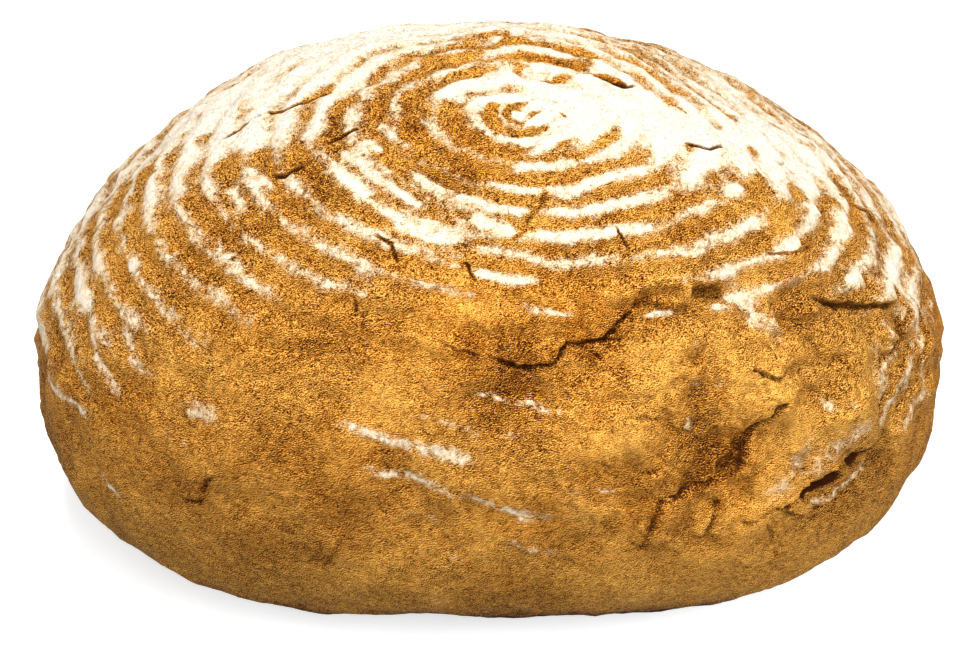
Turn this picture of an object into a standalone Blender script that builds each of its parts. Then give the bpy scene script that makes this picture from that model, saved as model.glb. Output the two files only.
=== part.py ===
"""A round country loaf, proofed in a coiled cane basket and baked on its own.

The loaf is one closed solid that stands on its flat sole at z = 0. Its smooth form is a dome over
a boxier skirt, both superellipses, on a slightly squared round plan. On that form lie the relief
of the baked crust: the coil that the basket pressed in, soft bulges, cracks with a raised edge,
and the torn mouths where the side burst in the oven.

Places on the crust are headings from the heart of the loaf, a point near the middle of its
footprint at the height where it is widest: degrees round from the front (-Y) towards +X, and
degrees up from level.
"""

import math

import bpy
import numpy as np

MM = 0.001

# Driving dimensions of the smooth form
RADIUS = 125.0 * MM
WAIST_HEIGHT = 50.0 * MM
CROWN_RISE = 80.5 * MM
SOLE_OVERCUT = 3.0 * MM
HEART = (-0.3 * MM, -0.8 * MM, WAIST_HEIGHT)
CROWN_FULLNESS = 1.76
SKIRT_FULLNESS = 3.1
PLAN_SQUARENESS = 2.3

# The coil of the proofing basket, as it stretched in the oven
COIL_CENTRE = (10.6, 59.3)
COIL_PITCH = 9.57 * MM
COIL_SQUEEZE_SIDE = -0.023
COIL_SQUEEZE_FRONT = -0.079
COIL_SQUEEZE_OVAL = -0.097
COIL_START = 0.30
COIL_GIRTH_RADIUS = 100.0 * MM
COIL_DEPTH = 0.9 * MM
COIL_RIDGE_SHARPNESS = 1.6
COIL_FADE_LATITUDE = 17.0
COIL_FADE_PER_DEGREE = 0.27
COIL_LOWEST_FADE = -8.0
COIL_FADE_SPAN = 12.0

# Slow unevenness of hand-shaped dough
SWELL_HEIGHT = 0.5 * MM
SWELL_SHORTEST = 28.0 * MM
SWELL_LONGEST = 70.0 * MM
SWELL_WAVES = 14
SWELL_SEED = 7

# A crack runs out over this share of its length at each end
CRACK_TAPER = 0.2

# Mesh: turns and rings of the fine grid, then the number of triangles that is kept
GRID_TURNS = 540
GRID_RINGS = 380
TRIANGLES_KEPT = 11700
SOLE_SNAP = 0.02 * MM

CRUST_COLOUR = (0.42, 0.20, 0.06, 1.0)
CRUST_ROUGHNESS = 0.8

# Bulges and hollows: heading, radius and height
SWELLINGS = (
    ("left shoulder", (-110.0, 48.0), 32.0 * MM, 2.9 * MM),
    ("right shoulder", (98.0, 35.0), 33.0 * MM, -4.4 * MM),
    ("left haunch", (-98.0, 24.0), 24.0 * MM, -1.4 * MM),
    ("left flank", (-88.0, 2.0), 28.0 * MM, 0.8 * MM),
    ("right flank", (88.0, 2.0), 28.0 * MM, 0.9 * MM),
    ("front foot", (0.0, -18.0), 40.0 * MM, -3.2 * MM),
    ("front belly", (14.0, -8.0), 22.0 * MM, 0.8 * MM),
    ("hollow over the burst", (38.0, 5.0), 13.0 * MM, -1.2 * MM),
    ("hollow left of the belly", (-12.0, -2.0), 16.0 * MM, -0.7 * MM),
    ("blister", (-28.0, 25.5), 3.2 * MM, 1.3 * MM),
    ("pit under the blister", (-27.0, 23.6), 1.8 * MM, -1.0 * MM),
    ("seed of the coil", (13.0, 59.0), 2.4 * MM, 0.7 * MM),
)

# Cracks: headings along them, half width, depth, rise of the left-hand edge and its reach
CRACKS = (
    ("hook", ((22, 62), (19, 64), (13, 64), (7, 61), (7, 58), (10, 56), (14, 58)),
     1.3 * MM, 0.9 * MM, 0.0, 0.0),
    ("from the hook", ((25, 55), (16, 51), (9, 49)), 1.2 * MM, 0.9 * MM, 0.0, 0.0),
    ("behind the coil", ((58, 65), (62, 62), (63, 59), (65, 57)), 1.3 * MM, 1.4 * MM, 0.0, 0.0),
    ("left flour", ((-69, 41), (-68, 45), (-69, 47), (-65, 50), (-66, 57)),
     1.1 * MM, 1.1 * MM, 0.4 * MM, 4.0 * MM),
    ("left ledge", ((-46, 38), (-42, 39), (-41, 42)), 1.2 * MM, 1.2 * MM, 0.7 * MM, 4.0 * MM),
    ("left of the coil", ((-41, 47), (-39, 50), (-37, 52)), 1.1 * MM, 1.1 * MM, 0.4 * MM, 3.0 * MM),
    ("right flour low", ((51, 45), (54, 42), (60, 41)), 1.2 * MM, 1.2 * MM, 0.5 * MM, 4.0 * MM),
    ("right flour", ((69, 35), (73, 33), (72, 31)), 1.1 * MM, 1.0 * MM, 0.4 * MM, 3.0 * MM),
    ("right shoulder", ((75, 25), (77, 21), (81, 18)), 1.3 * MM, 1.5 * MM, 0.6 * MM, 4.0 * MM),
    ("front left", ((-20, 24), (-19, 24), (-18, 22)), 1.2 * MM, 1.2 * MM, 0.4 * MM, 3.0 * MM),
    ("front", ((-19, 33), (-16, 32), (-14, 29)), 1.1 * MM, 0.9 * MM, 0.3 * MM, 3.0 * MM),
    ("across the coil", ((11, 42), (8, 37), (4, 33)), 1.1 * MM, 0.8 * MM, 0.2 * MM, 3.0 * MM),
    ("across the coil right", ((22, 34), (22, 32), (23, 30)), 1.0 * MM, 0.8 * MM, 0.0, 0.0),
    ("low groove", ((-5, 19), (-3, 19), (0, 17.5)), 1.3 * MM, 0.9 * MM, 0.4 * MM, 4.0 * MM),
    ("main ledge", ((0, 17.5), (4, 16.5), (8, 16.8), (10, 19), (15, 19), (18, 21), (21, 23), (23, 24)),
     1.5 * MM, 1.9 * MM, 1.2 * MM, 7.0 * MM),
    ("main branch", ((13, 18.5), (14, 17), (15.5, 15.5)), 1.2 * MM, 1.4 * MM, 0.3 * MM, 3.0 * MM),
    ("near pocket", ((21, 22), (23, 23.5), (25, 24), (27.5, 22.7)),
     2.4 * MM, 2.0 * MM, 0.9 * MM, 5.0 * MM),
    ("far pocket", ((28, 23.6), (31, 23.2), (34, 21)), 2.2 * MM, 1.9 * MM, 0.9 * MM, 5.0 * MM),
    ("middle ledge", ((12, 9), (13, 10.3), (17, 11), (20, 10.3), (24, 10)),
     1.4 * MM, 1.4 * MM, 0.8 * MM, 6.0 * MM),
    ("right ledge", ((49, 17), (51, 16), (53, 15.2), (57, 14.3), (61, 13)),
     1.4 * MM, 1.6 * MM, 1.0 * MM, 6.0 * MM),
    ("right plate", ((50, 15), (53, 12), (56, 10), (59, 8)), 1.2 * MM, 0.9 * MM, 0.0, 0.0),
    ("wrinkle", ((31, 14), (34, 12), (36, 12), (39, 12.5)), 1.3 * MM, 1.5 * MM, 0.8 * MM, 4.0 * MM),
    ("long crack", ((35, 10), (34, 9), (31, 7), (30, 6), (28, 4), (26, 2)),
     1.7 * MM, 2.2 * MM, 1.0 * MM, 6.0 * MM),
    ("plate edge", ((26, 2), (23, 1.8), (19.5, 1), (18, -0.5), (17.5, -3), (16.5, -5)),
     1.2 * MM, 1.0 * MM, 1.1 * MM, 7.0 * MM),
    ("in the plate", ((25, -2), (23, -5), (22.5, -7)), 1.3 * MM, 1.0 * MM, 0.5 * MM, 4.0 * MM),
    ("left flap", ((-35, -2), (-33, -2), (-33, 0), (-31, 2)), 1.1 * MM, 0.8 * MM, 0.5 * MM, 3.0 * MM),
    ("low fold", ((-18, -7), (-17, -5), (-16, -4)), 1.4 * MM, 0.7 * MM, 0.5 * MM, 4.0 * MM),
    ("left notch", ((-102, 20), (-92, 19), (-83, 16)), 1.3 * MM, 1.3 * MM, 0.4 * MM, 4.0 * MM),
    ("near mouth", ((33.5, -1.4), (36, -1.0), (39, -0.4), (41.5, 0.0)),
     3.0 * MM, 9.0 * MM, 0.8 * MM, 5.0 * MM),
    ("far mouth", ((42, -1.0), (44.5, -0.4), (47, 0.2), (49.5, 0.3)),
     2.5 * MM, 8.0 * MM, 0.8 * MM, 5.0 * MM),
    ("burst lip", ((31.5, -2.2), (35, -4), (38, -5.2), (41, -5), (44, -3.6), (47, -3), (51, -3)),
     1.3 * MM, 0.9 * MM, 1.5 * MM, 8.0 * MM),
)


def heading(longitude, latitude):
    """Unit vectors from the heart of the loaf, from degrees round from the front and up from level."""
    round_from_front = np.radians(longitude)
    up = np.radians(latitude)
    level = np.cos(up)
    return np.stack(
        [level * np.sin(round_from_front), -level * np.cos(round_from_front), np.sin(up)],
        axis=-1,
    )


def smooth_reach(ways):
    """Distance from the heart to the smooth form along each unit vector, before the sole is cut."""
    across = np.hypot(ways[..., 0], ways[..., 1])
    turn = np.arctan2(ways[..., 1], ways[..., 0])
    corners = np.abs(np.cos(turn)) ** PLAN_SQUARENESS + np.abs(np.sin(turn)) ** PLAN_SQUARENESS
    wide = across / (RADIUS * corners ** (-1.0 / PLAN_SQUARENESS))
    above = ways[..., 2] >= 0.0
    tall = np.abs(ways[..., 2]) / np.where(above, CROWN_RISE, WAIST_HEIGHT + SOLE_OVERCUT)
    fullness = np.where(above, CROWN_FULLNESS, SKIRT_FULLNESS)
    return (wide**fullness + tall**fullness) ** (-1.0 / fullness)


def on_smooth_form(ways):
    """Points of the smooth form, with the heart as the origin."""
    return smooth_reach(ways)[..., None] * ways


def coil_axes():
    """The direction of the coil's centre, and the two directions square to it: right and back."""
    centre = heading(*COIL_CENTRE)
    right = np.array([1.0, 0.0, 0.0]) - centre[0] * centre
    right /= np.linalg.norm(right)
    return centre, right, np.cross(centre, right)


def coil_count(ways, points):
    """How many turns of the coil lie between its centre and each point, counting in fractions."""
    centre, right, back = coil_axes()
    chord = np.linalg.norm(points - on_smooth_form(centre), axis=-1)
    # An arc of a circle is longer than its chord by the chord cubed over 24 radii squared
    girth = chord * (1.0 + chord**2 / (24.0 * COIL_GIRTH_RADIUS**2))
    turn = np.arctan2(ways @ back, ways @ right) % (2.0 * math.pi)
    squeeze = (
        1.0
        + COIL_SQUEEZE_SIDE * np.cos(turn)
        + COIL_SQUEEZE_FRONT * np.sin(turn)
        + COIL_SQUEEZE_OVAL * np.cos(2.0 * turn)
    )
    return girth / COIL_PITCH * squeeze + COIL_START - turn / (2.0 * math.pi)


def smooth_step(value):
    """Rises from 0 to 1 as the value goes from 0 to 1, level at both ends."""
    value = np.clip(value, 0.0, 1.0)
    return value * value * (3.0 - 2.0 * value)


def coil_relief(ways, points):
    """Narrow ridges between the round grooves of the cane, fading down the sides."""
    longitude = np.degrees(np.arctan2(ways[..., 0], -ways[..., 1]))
    latitude = np.degrees(np.arcsin(ways[..., 2]))
    fade_from = COIL_FADE_LATITUDE - COIL_FADE_PER_DEGREE * np.abs(longitude)
    fade_from = np.maximum(fade_from, COIL_LOWEST_FADE)
    strength = smooth_step((latitude - fade_from) / COIL_FADE_SPAN + 0.5)
    ridge = np.abs(np.cos(math.pi * coil_count(ways, points))) ** COIL_RIDGE_SHARPNESS
    return COIL_DEPTH * strength * (ridge - 0.5)


def swell_relief(points):
    """Long shallow waves in all directions, the same each time."""
    dice = np.random.default_rng(SWELL_SEED)
    total = np.zeros(points.shape[:-1])
    for _ in range(SWELL_WAVES):
        across = dice.normal(size=3)
        across /= np.linalg.norm(across)
        per_metre = 2.0 * math.pi / dice.uniform(SWELL_SHORTEST, SWELL_LONGEST)
        total += np.sin(points @ across * per_metre + dice.uniform(0.0, 2.0 * math.pi))
    return SWELL_HEIGHT * total / math.sqrt(SWELL_WAVES / 2.0)


def swelling_relief(points):
    """The named bulges and hollows."""
    total = np.zeros(points.shape[:-1])
    for _, place, radius, height in SWELLINGS:
        away = np.linalg.norm(points - on_smooth_form(heading(*place)), axis=-1)
        total += height * np.exp(-((away / radius) ** 2))
    return total


def follow_path(points, path):
    """Distance of each point from a path, the share of the path passed, and the side it lies on."""
    knots = on_smooth_form(heading(*np.array(path, float).T))
    lengths = np.linalg.norm(np.diff(knots, axis=0), axis=1)
    distance = np.full(points.shape[:-1], np.inf)
    passed = np.zeros_like(distance)
    side = np.zeros_like(distance)
    done = 0.0
    for start, end, length in zip(knots[:-1], knots[1:], lengths):
        along = (end - start) / length
        offset = points - start
        run = np.clip(offset @ along, 0.0, length)
        away = np.linalg.norm(offset - run[..., None] * along, axis=-1)
        nearer = away < distance
        distance = np.where(nearer, away, distance)
        passed = np.where(nearer, (done + run) / lengths.sum(), passed)
        side = np.where(nearer, np.sign((np.cross(along, offset) * points).sum(axis=-1)), side)
        done += length
    return distance, passed, side


def crack_relief(points):
    """Grooves along the cracks, deepest mid-way, with the edge on their left lifted."""
    total = np.zeros(points.shape[:-1])
    for _, path, half_width, depth, rise, rise_reach in CRACKS:
        distance, passed, side = follow_path(points, path)
        taper = np.sqrt(np.clip(np.minimum(passed, 1.0 - passed) / CRACK_TAPER, 0.0, 1.0))
        total -= depth * taper * (1.0 - smooth_step(distance / half_width))
        if rise > 0.0:
            lifted = rise * taper * np.exp(-distance / rise_reach) * smooth_step(distance / half_width)
            total += np.where(side > 0.0, lifted, 0.0)
    return total


def grid_of_ways():
    """Unit vectors on rings round the coil's centre, with the two poles as single points."""
    centre, right, back = coil_axes()
    slant = np.linspace(0.0, math.pi, GRID_RINGS + 1)[1:-1, None, None]
    turn = np.linspace(0.0, 2.0 * math.pi, GRID_TURNS, endpoint=False)[None, :, None]
    rings = np.cos(slant) * centre + np.sin(slant) * (np.cos(turn) * right + np.sin(turn) * back)
    return np.concatenate([centre[None], rings.reshape(-1, 3), -centre[None]])


def grid_faces():
    """The quads between the rings, and the fans that close the two poles."""
    first = 1 + GRID_TURNS * np.arange(GRID_RINGS - 2)[:, None]
    here = np.arange(GRID_TURNS)[None, :]
    after = (here + 1) % GRID_TURNS
    quads = np.stack(
        [first + here, first + GRID_TURNS + here, first + GRID_TURNS + after, first + after], axis=-1
    ).reshape(-1, 4)
    last = 1 + GRID_TURNS * (GRID_RINGS - 2)
    pole = last + GRID_TURNS
    fans = [(0, 1 + turn, 1 + (turn + 1) % GRID_TURNS) for turn in range(GRID_TURNS)]
    fans += [(pole, last + (turn + 1) % GRID_TURNS, last + turn) for turn in range(GRID_TURNS)]
    return quads.tolist() + fans


def crust_points():
    """The loaf's crust with its relief, cut flat at the sole."""
    ways = grid_of_ways()
    points = on_smooth_form(ways)
    reach = np.linalg.norm(points, axis=-1)
    relief = coil_relief(ways, points) + swell_relief(points) + swelling_relief(points)
    reach = reach + relief + crack_relief(points)
    to_sole = WAIST_HEIGHT / np.maximum(-ways[:, 2], 1e-9)
    reach = np.where(ways[:, 2] < 0.0, np.minimum(reach, to_sole), reach)
    return reach[:, None] * ways + np.array(HEART)


def crust_material():
    """Matt golden-brown crust."""
    material = bpy.data.materials.new("baked_crust")
    material.use_nodes = True
    shader = material.node_tree.nodes["Principled BSDF"]
    shader.inputs["Base Color"].default_value = CRUST_COLOUR
    shader.inputs["Roughness"].default_value = CRUST_ROUGHNESS
    shader.inputs["Metallic"].default_value = 0.0
    return material


def thinned(loaf):
    """Keeps the triangles where the crust bends most, and gives the loaf that mesh."""
    thinning = loaf.modifiers.new("keep_the_bends", "DECIMATE")
    thinning.ratio = TRIANGLES_KEPT / (2.0 * GRID_TURNS * (GRID_RINGS - 1))
    thinning.use_collapse_triangulate = True
    graph = bpy.context.evaluated_depsgraph_get()
    mesh = bpy.data.meshes.new_from_object(loaf.evaluated_get(graph))
    loaf.modifiers.clear()
    fine = loaf.data
    loaf.data = mesh
    bpy.data.meshes.remove(fine)
    for vertex in mesh.vertices:
        if vertex.co.z < SOLE_SNAP:
            vertex.co.z = 0.0
    mesh.update()


def make_loaf():
    """Builds the loaf as one object."""
    mesh = bpy.data.meshes.new("loaf")
    mesh.from_pydata(crust_points().tolist(), [], grid_faces())
    mesh.materials.append(crust_material())
    loaf = bpy.data.objects.new("loaf", mesh)
    bpy.context.scene.collection.objects.link(loaf)
    thinned(loaf)
    loaf.data.shade_smooth()
    return loaf


for left_over in list(bpy.data.objects):
    bpy.data.objects.remove(left_over, do_unlink=True)
make_loaf()
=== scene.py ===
"""The looks of a round country loaf: baked crust, the flour of its basket, and a plain studio.

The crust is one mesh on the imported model's form. Places on it are headings from the heart of the
loaf, the point on its axis at the height where it is widest: degrees round from the front (-Y)
towards +X, and degrees up from level. Sizes are in metres.
"""

import logging
import math
from dataclasses import dataclass
from enum import Enum, IntEnum

import bpy
import numpy as np
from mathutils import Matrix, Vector


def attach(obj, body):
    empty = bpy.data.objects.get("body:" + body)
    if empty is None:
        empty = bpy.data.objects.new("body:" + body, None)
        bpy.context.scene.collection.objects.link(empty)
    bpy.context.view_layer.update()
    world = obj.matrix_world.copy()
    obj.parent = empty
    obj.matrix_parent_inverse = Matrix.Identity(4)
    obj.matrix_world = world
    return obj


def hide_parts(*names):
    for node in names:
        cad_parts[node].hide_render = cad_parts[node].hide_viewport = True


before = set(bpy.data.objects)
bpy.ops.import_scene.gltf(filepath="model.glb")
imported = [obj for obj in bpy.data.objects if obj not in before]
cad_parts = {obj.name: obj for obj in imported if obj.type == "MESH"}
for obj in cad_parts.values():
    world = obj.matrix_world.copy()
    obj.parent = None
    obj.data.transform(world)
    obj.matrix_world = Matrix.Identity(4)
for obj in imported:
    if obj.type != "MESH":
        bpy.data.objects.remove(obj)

MM = 0.001
# Large primes, which mix the numbers of a cell into a random value
CELL_PRIMES = (73856093, 19349663, 83492791)
SEED_PRIME = 7919
MIX_FACTOR = 1274126177
# A plate's middle lies at most this part of a cell from the cell's own middle
PLATE_SHIFT = 0.45
log = logging.getLogger("loaf")

Place = tuple[float, float]
Path = tuple[Place, ...]


class Seed(IntEnum):
    """The random patterns. Where a pattern has levels or axes, those take the next numbers."""

    WANDER = 3
    JITTER = 20
    FINE_JITTER = 30
    CRUMBLE = 40
    FLOUR = 50
    WOBBLE = 60
    SPLIT = 65
    CLOUDS = 70
    GRAIN = 80
    PLATES = 90


def linear(code: str) -> tuple[float, float, float, float]:
    """Turns an sRGB hex value into the linear colour that shaders take.

    Args:
        code: six hex digits with a leading hash, such as "#C98A35".

    Returns:
        Linear red, green and blue, with alpha 1.
    """
    parts = [int(code[place : place + 2], 16) / 255.0 for place in (1, 3, 5)]
    bent = [part / 12.92 if part <= 0.04045 else ((part + 0.055) / 1.055) ** 2.4 for part in parts]
    return bent[0], bent[1], bent[2], 1.0


def smooth_step(value: np.ndarray) -> np.ndarray:
    """Rises from 0 to 1 as the value goes from 0 to 1, level at both ends."""
    value = np.clip(value, 0.0, 1.0)
    return value * value * (3.0 - 2.0 * value)


def heading(longitude: float, latitude: float) -> np.ndarray:
    """Gives the unit vector from the heart at one or more headings.

    Args:
        longitude: degrees round from the front, towards +X.
        latitude: degrees up from level.

    Returns:
        The unit vectors, with the parts of each along the last axis.
    """
    longitude, latitude = np.radians(longitude), np.radians(latitude)
    level = np.cos(latitude)
    return np.stack([level * np.sin(longitude), -level * np.cos(longitude), np.sin(latitude)], axis=-1)


def longitude_of(ways: np.ndarray) -> np.ndarray:
    """Gives how many degrees round from the front unit vectors point."""
    return np.degrees(np.arctan2(ways[..., 0], -ways[..., 1]))


def latitude_of(ways: np.ndarray) -> np.ndarray:
    """Gives how many degrees up from level unit vectors point."""
    return np.degrees(np.arcsin(ways[..., 2]))


def lattice_value(cells: np.ndarray, seed: int) -> np.ndarray:
    """Gives each whole-numbered cell a fixed random value.

    Args:
        cells: whole numbers, three to a cell.
        seed: chooses the pattern.

    Returns:
        One value from -1 to 1 for each cell.
    """
    mixed = seed * SEED_PRIME
    for axis, prime in enumerate(CELL_PRIMES):
        mixed = mixed ^ (cells[..., axis] * prime)
    mixed = (mixed ^ (mixed >> 13)) * MIX_FACTOR
    mixed = mixed ^ (mixed >> 16)
    return (mixed & 0xFFFF) / 32767.5 - 1.0


def lumps(points: np.ndarray, cell: float, seed: int) -> np.ndarray:
    """Smooth random heights, about one lump to a cell.

    Args:
        points: places in metres.
        cell: the spacing of the lumps in metres.
        seed: chooses the pattern.

    Returns:
        A height from -1 to 1 for each point.
    """
    place = points / cell
    corner = np.floor(place).astype(np.int64)
    part = smooth_step(place - corner)
    total = np.zeros(points.shape[:-1])
    for step in np.ndindex(2, 2, 2):
        share = np.where(np.array(step) == 1, part, 1.0 - part).prod(axis=-1)
        total += share * lattice_value(corner + np.array(step), seed)
    return total


def plate_heights(points: np.ndarray, cell: float, tilt: float, seam: float, seed: int) -> np.ndarray:
    """Breaks the skin into plates that each lean their own way and meet along seams.

    Args:
        points: places in metres.
        cell: the spacing of the plates in metres.
        tilt: how steeply a plate leans, as a slope.
        seam: how wide the bend between two plates is, in metres.
        seed: chooses the pattern.

    Returns:
        A height in metres for each point, about zero.
    """
    place = points / cell
    corner = np.floor(place).astype(np.int64)
    height = np.zeros(len(points))
    weight = np.zeros(len(points))
    for step in np.ndindex(3, 3, 3):
        cells = corner + np.array(step) - 1
        shift = np.stack([lattice_value(cells, seed + axis) for axis in range(3)], axis=-1)
        offset = place - (cells + 0.5 + PLATE_SHIFT * shift)
        lean = np.stack([lattice_value(cells, seed + 3 + axis) for axis in range(3)], axis=-1)
        share = np.exp(-(cell / seam) * (offset**2).sum(axis=-1))
        height += share * (offset * lean).sum(axis=-1)
        weight += share
    return tilt * cell * height / weight


@dataclass(frozen=True)
class Form:
    """The smooth form under the relief: a dome over a boxier skirt, on a slightly squared plan."""

    radius: float = 125.0 * MM
    waist_height: float = 50.0 * MM
    crown_rise: float = 80.5 * MM
    sole_overcut: float = 3.0 * MM
    heart_place: tuple[float, float] = (-0.3 * MM, -0.8 * MM)
    crown_fullness: float = 1.76
    skirt_fullness: float = 3.1
    plan_squareness: float = 2.3

    @property
    def heart(self) -> np.ndarray:
        """The point that headings start from."""
        return np.array([*self.heart_place, self.waist_height])

    def reach(self, ways: np.ndarray) -> np.ndarray:
        """Measures from the heart to the smooth form.

        Args:
            ways: unit vectors.

        Returns:
            The distance along each, before the sole is cut.
        """
        across = np.hypot(ways[..., 0], ways[..., 1])
        turn = np.arctan2(ways[..., 1], ways[..., 0])
        power = self.plan_squareness
        corners = np.abs(np.cos(turn)) ** power + np.abs(np.sin(turn)) ** power
        wide = across / (self.radius * corners ** (-1.0 / power))
        above = ways[..., 2] >= 0.0
        below = self.waist_height + self.sole_overcut
        tall = np.abs(ways[..., 2]) / np.where(above, self.crown_rise, below)
        fullness = np.where(above, self.crown_fullness, self.skirt_fullness)
        return (wide**fullness + tall**fullness) ** (-1.0 / fullness)

    def points(self, ways: np.ndarray) -> np.ndarray:
        """Gives the points of the smooth form, measured from the heart."""
        return self.reach(ways)[..., None] * ways

    def away(self, points: np.ndarray, place: Place) -> np.ndarray:
        """Gives the distance of points from the smooth form's point at one heading."""
        return np.linalg.norm(points - self.points(heading(*place)), axis=-1)

    def knots(self, path: Path) -> np.ndarray:
        """Gives the smooth form's points along a path."""
        return self.points(heading(*np.array(path, float).T))


@dataclass(frozen=True)
class Coil:
    """The coil that the cane of the proofing basket pressed into the dough.

    The relief fades below one latitude and the flour on it below another. Each falls by so many
    degrees for each degree round from the front.
    """

    centre: Place = (10.6, 59.3)
    pitch: float = 9.57 * MM
    squeeze_side: float = -0.023
    squeeze_front: float = -0.079
    squeeze_oval: float = -0.097
    start: float = 0.30
    girth_radius: float = 100.0 * MM
    depth: float = 0.9 * MM
    ridge_sharpness: float = 1.6
    fade_latitude: float = 17.0
    fade_per_degree: float = 0.27
    lowest_fade: float = -8.0
    fade_span: float = 12.0
    wander: float = 0.09
    wander_cell: float = 14.0 * MM
    flour_latitude: float = 31.0
    flour_fall_left: float = 0.42
    flour_fall_right: float = 0.30
    flour_lowest: float = -2.0

    def axes(self) -> tuple[np.ndarray, np.ndarray, np.ndarray]:
        """Gives the direction of the coil's centre, and the two square to it: right and back."""
        centre = heading(*self.centre)
        right = np.array([1.0, 0.0, 0.0]) - centre[0] * centre
        right /= np.linalg.norm(right)
        return centre, right, np.cross(centre, right)

    def count(self, form: Form, ways: np.ndarray) -> np.ndarray:
        """Counts the turns of the coil between its centre and each heading.

        Args:
            form: the smooth form that the coil lies on.
            ways: unit vectors from the heart.

        Returns:
            The number of turns, in fractions. Ridges lie at whole numbers.
        """
        centre, right, back = self.axes()
        points = form.points(ways)
        chord = np.linalg.norm(points - form.points(centre), axis=-1)
        # An arc of a circle is longer than its chord by the chord cubed over 24 radii squared
        girth = chord * (1.0 + chord**2 / (24.0 * self.girth_radius**2))
        turn = np.arctan2(ways @ back, ways @ right)
        squeeze = (
            1.0
            + self.squeeze_side * np.cos(turn)
            + self.squeeze_front * np.sin(turn)
            + self.squeeze_oval * np.cos(2.0 * turn)
        )
        wander = self.wander * lumps(points, self.wander_cell, Seed.WANDER)
        return girth / self.pitch * squeeze + self.start + wander - turn / (2.0 * math.pi)

    def relief(self, form: Form, ways: np.ndarray) -> np.ndarray:
        """Gives the height of the coil's ridges over the smooth form.

        Args:
            form: the smooth form that the coil lies on.
            ways: unit vectors from the heart.

        Returns:
            A height in metres at each heading, below zero between the ridges.
        """
        fade_from = self.fade_latitude - self.fade_per_degree * np.abs(longitude_of(ways))
        clear = self.above(ways, np.maximum(fade_from, self.lowest_fade))
        ridge = np.abs(np.cos(math.pi * self.count(form, ways))) ** self.ridge_sharpness
        return self.depth * clear * (ridge - 0.5)

    def flour_zone(self, ways: np.ndarray) -> np.ndarray:
        """Tells where the basket left flour.

        Args:
            ways: unit vectors from the heart.

        Returns:
            1 up on the loaf, 0 low on its sides.
        """
        longitude = longitude_of(ways)
        fall = np.where(longitude < 0.0, self.flour_fall_left, self.flour_fall_right)
        fade_from = self.flour_latitude - fall * np.abs(longitude)
        return self.above(ways, np.maximum(fade_from, self.flour_lowest))

    def above(self, ways: np.ndarray, fade_from: np.ndarray) -> np.ndarray:
        """Fades from one side of a latitude to the other over the fade span.

        Args:
            ways: unit vectors from the heart.
            fade_from: the latitude for each, in degrees.

        Returns:
            1 well above the latitude and 0 well below it.
        """
        return smooth_step((latitude_of(ways) - fade_from) / self.fade_span + 0.5)


@dataclass(frozen=True)
class Swelling:
    """A soft bulge, or a hollow where the height is negative."""

    place: Place
    radius: float
    height: float


@dataclass(frozen=True)
class Crack:
    """A split in the crust, with its left-hand edge lifted by the rise and painted shade along its bottom.
    """

    path: Path
    half_width: float
    depth: float
    rise: float = 0.0
    rise_reach: float = 3.0 * MM
    dark: float = 0.62


@dataclass(frozen=True)
class Patch:
    """A round patch that adds to flour or toasting, strongest in its middle."""

    place: Place
    radius: float
    amount: float


@dataclass(frozen=True)
class Stroke:
    """A line of flour, or of bare crust where the amount is negative."""

    path: Path
    half_width: float
    amount: float = 1.0


def swellings(*rows: tuple[float, ...]) -> tuple[Swelling, ...]:
    """Makes swellings of rows: longitude, latitude, then radius and height in millimetres."""
    return tuple(Swelling(tuple(row[:2]), row[2] * MM, row[3] * MM) for row in rows)


def cracks(*rows: tuple[Path | float, ...]) -> tuple[Crack, ...]:
    """Makes cracks of rows: path, half width, depth, rise and rise reach in millimetres, and dark."""
    return tuple(Crack(path, *(size * MM for size in sizes[:4]), *sizes[4:]) for path, *sizes in rows)


def patches(*rows: tuple[float, ...]) -> tuple[Patch, ...]:
    """Makes patches of rows: longitude, latitude, radius in millimetres, and amount."""
    return tuple(Patch(tuple(row[:2]), row[2] * MM, row[3]) for row in rows)


def strokes(*rows: tuple[Path | float, ...]) -> tuple[Stroke, ...]:
    """Makes strokes of rows: path, half width in millimetres and, where it isn't 1, amount."""
    return tuple(Stroke(path, half_width * MM, *amount) for path, half_width, *amount in rows)


SWELLINGS = swellings(
    (-110, 48, 32, 2.9), (98, 35, 33, -4.4), (-98, 24, 24, -1.4), (-88, 2, 28, 0.8), (88, 2, 28, 0.9),
    (0, -18, 40, -3.2), (14, -8, 22, 0.8), (38, 5, 13, -1.2), (-12, -2, 16, -0.7), (-28, 25.5, 3.2, 1.3),
    (-27, 23.6, 1.8, -1), (13, 59, 2.4, 0.7),
    # Plates that bulge over the cracks, and the hollows under them
    (5, 21.5, 13, 1.5), (-6, 20.5, 9, 0.8), (2, 14, 9, -1.4), (27, 17.5, 10, 1.1), (48, 11, 11, 1.3),
    (17, 7, 8, 1.2), (16.5, 12.5, 5, -0.9), (21.5, -2.5, 7, 1.2), (42, 5, 9, 1.1), (33, 9, 7, 0.9),
    (-30, 4, 12, 0.6), (-22, 12, 14, -0.7), (-16.5, -4, 4, 0.5), (36, 20.5, 7, -1),
)

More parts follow.
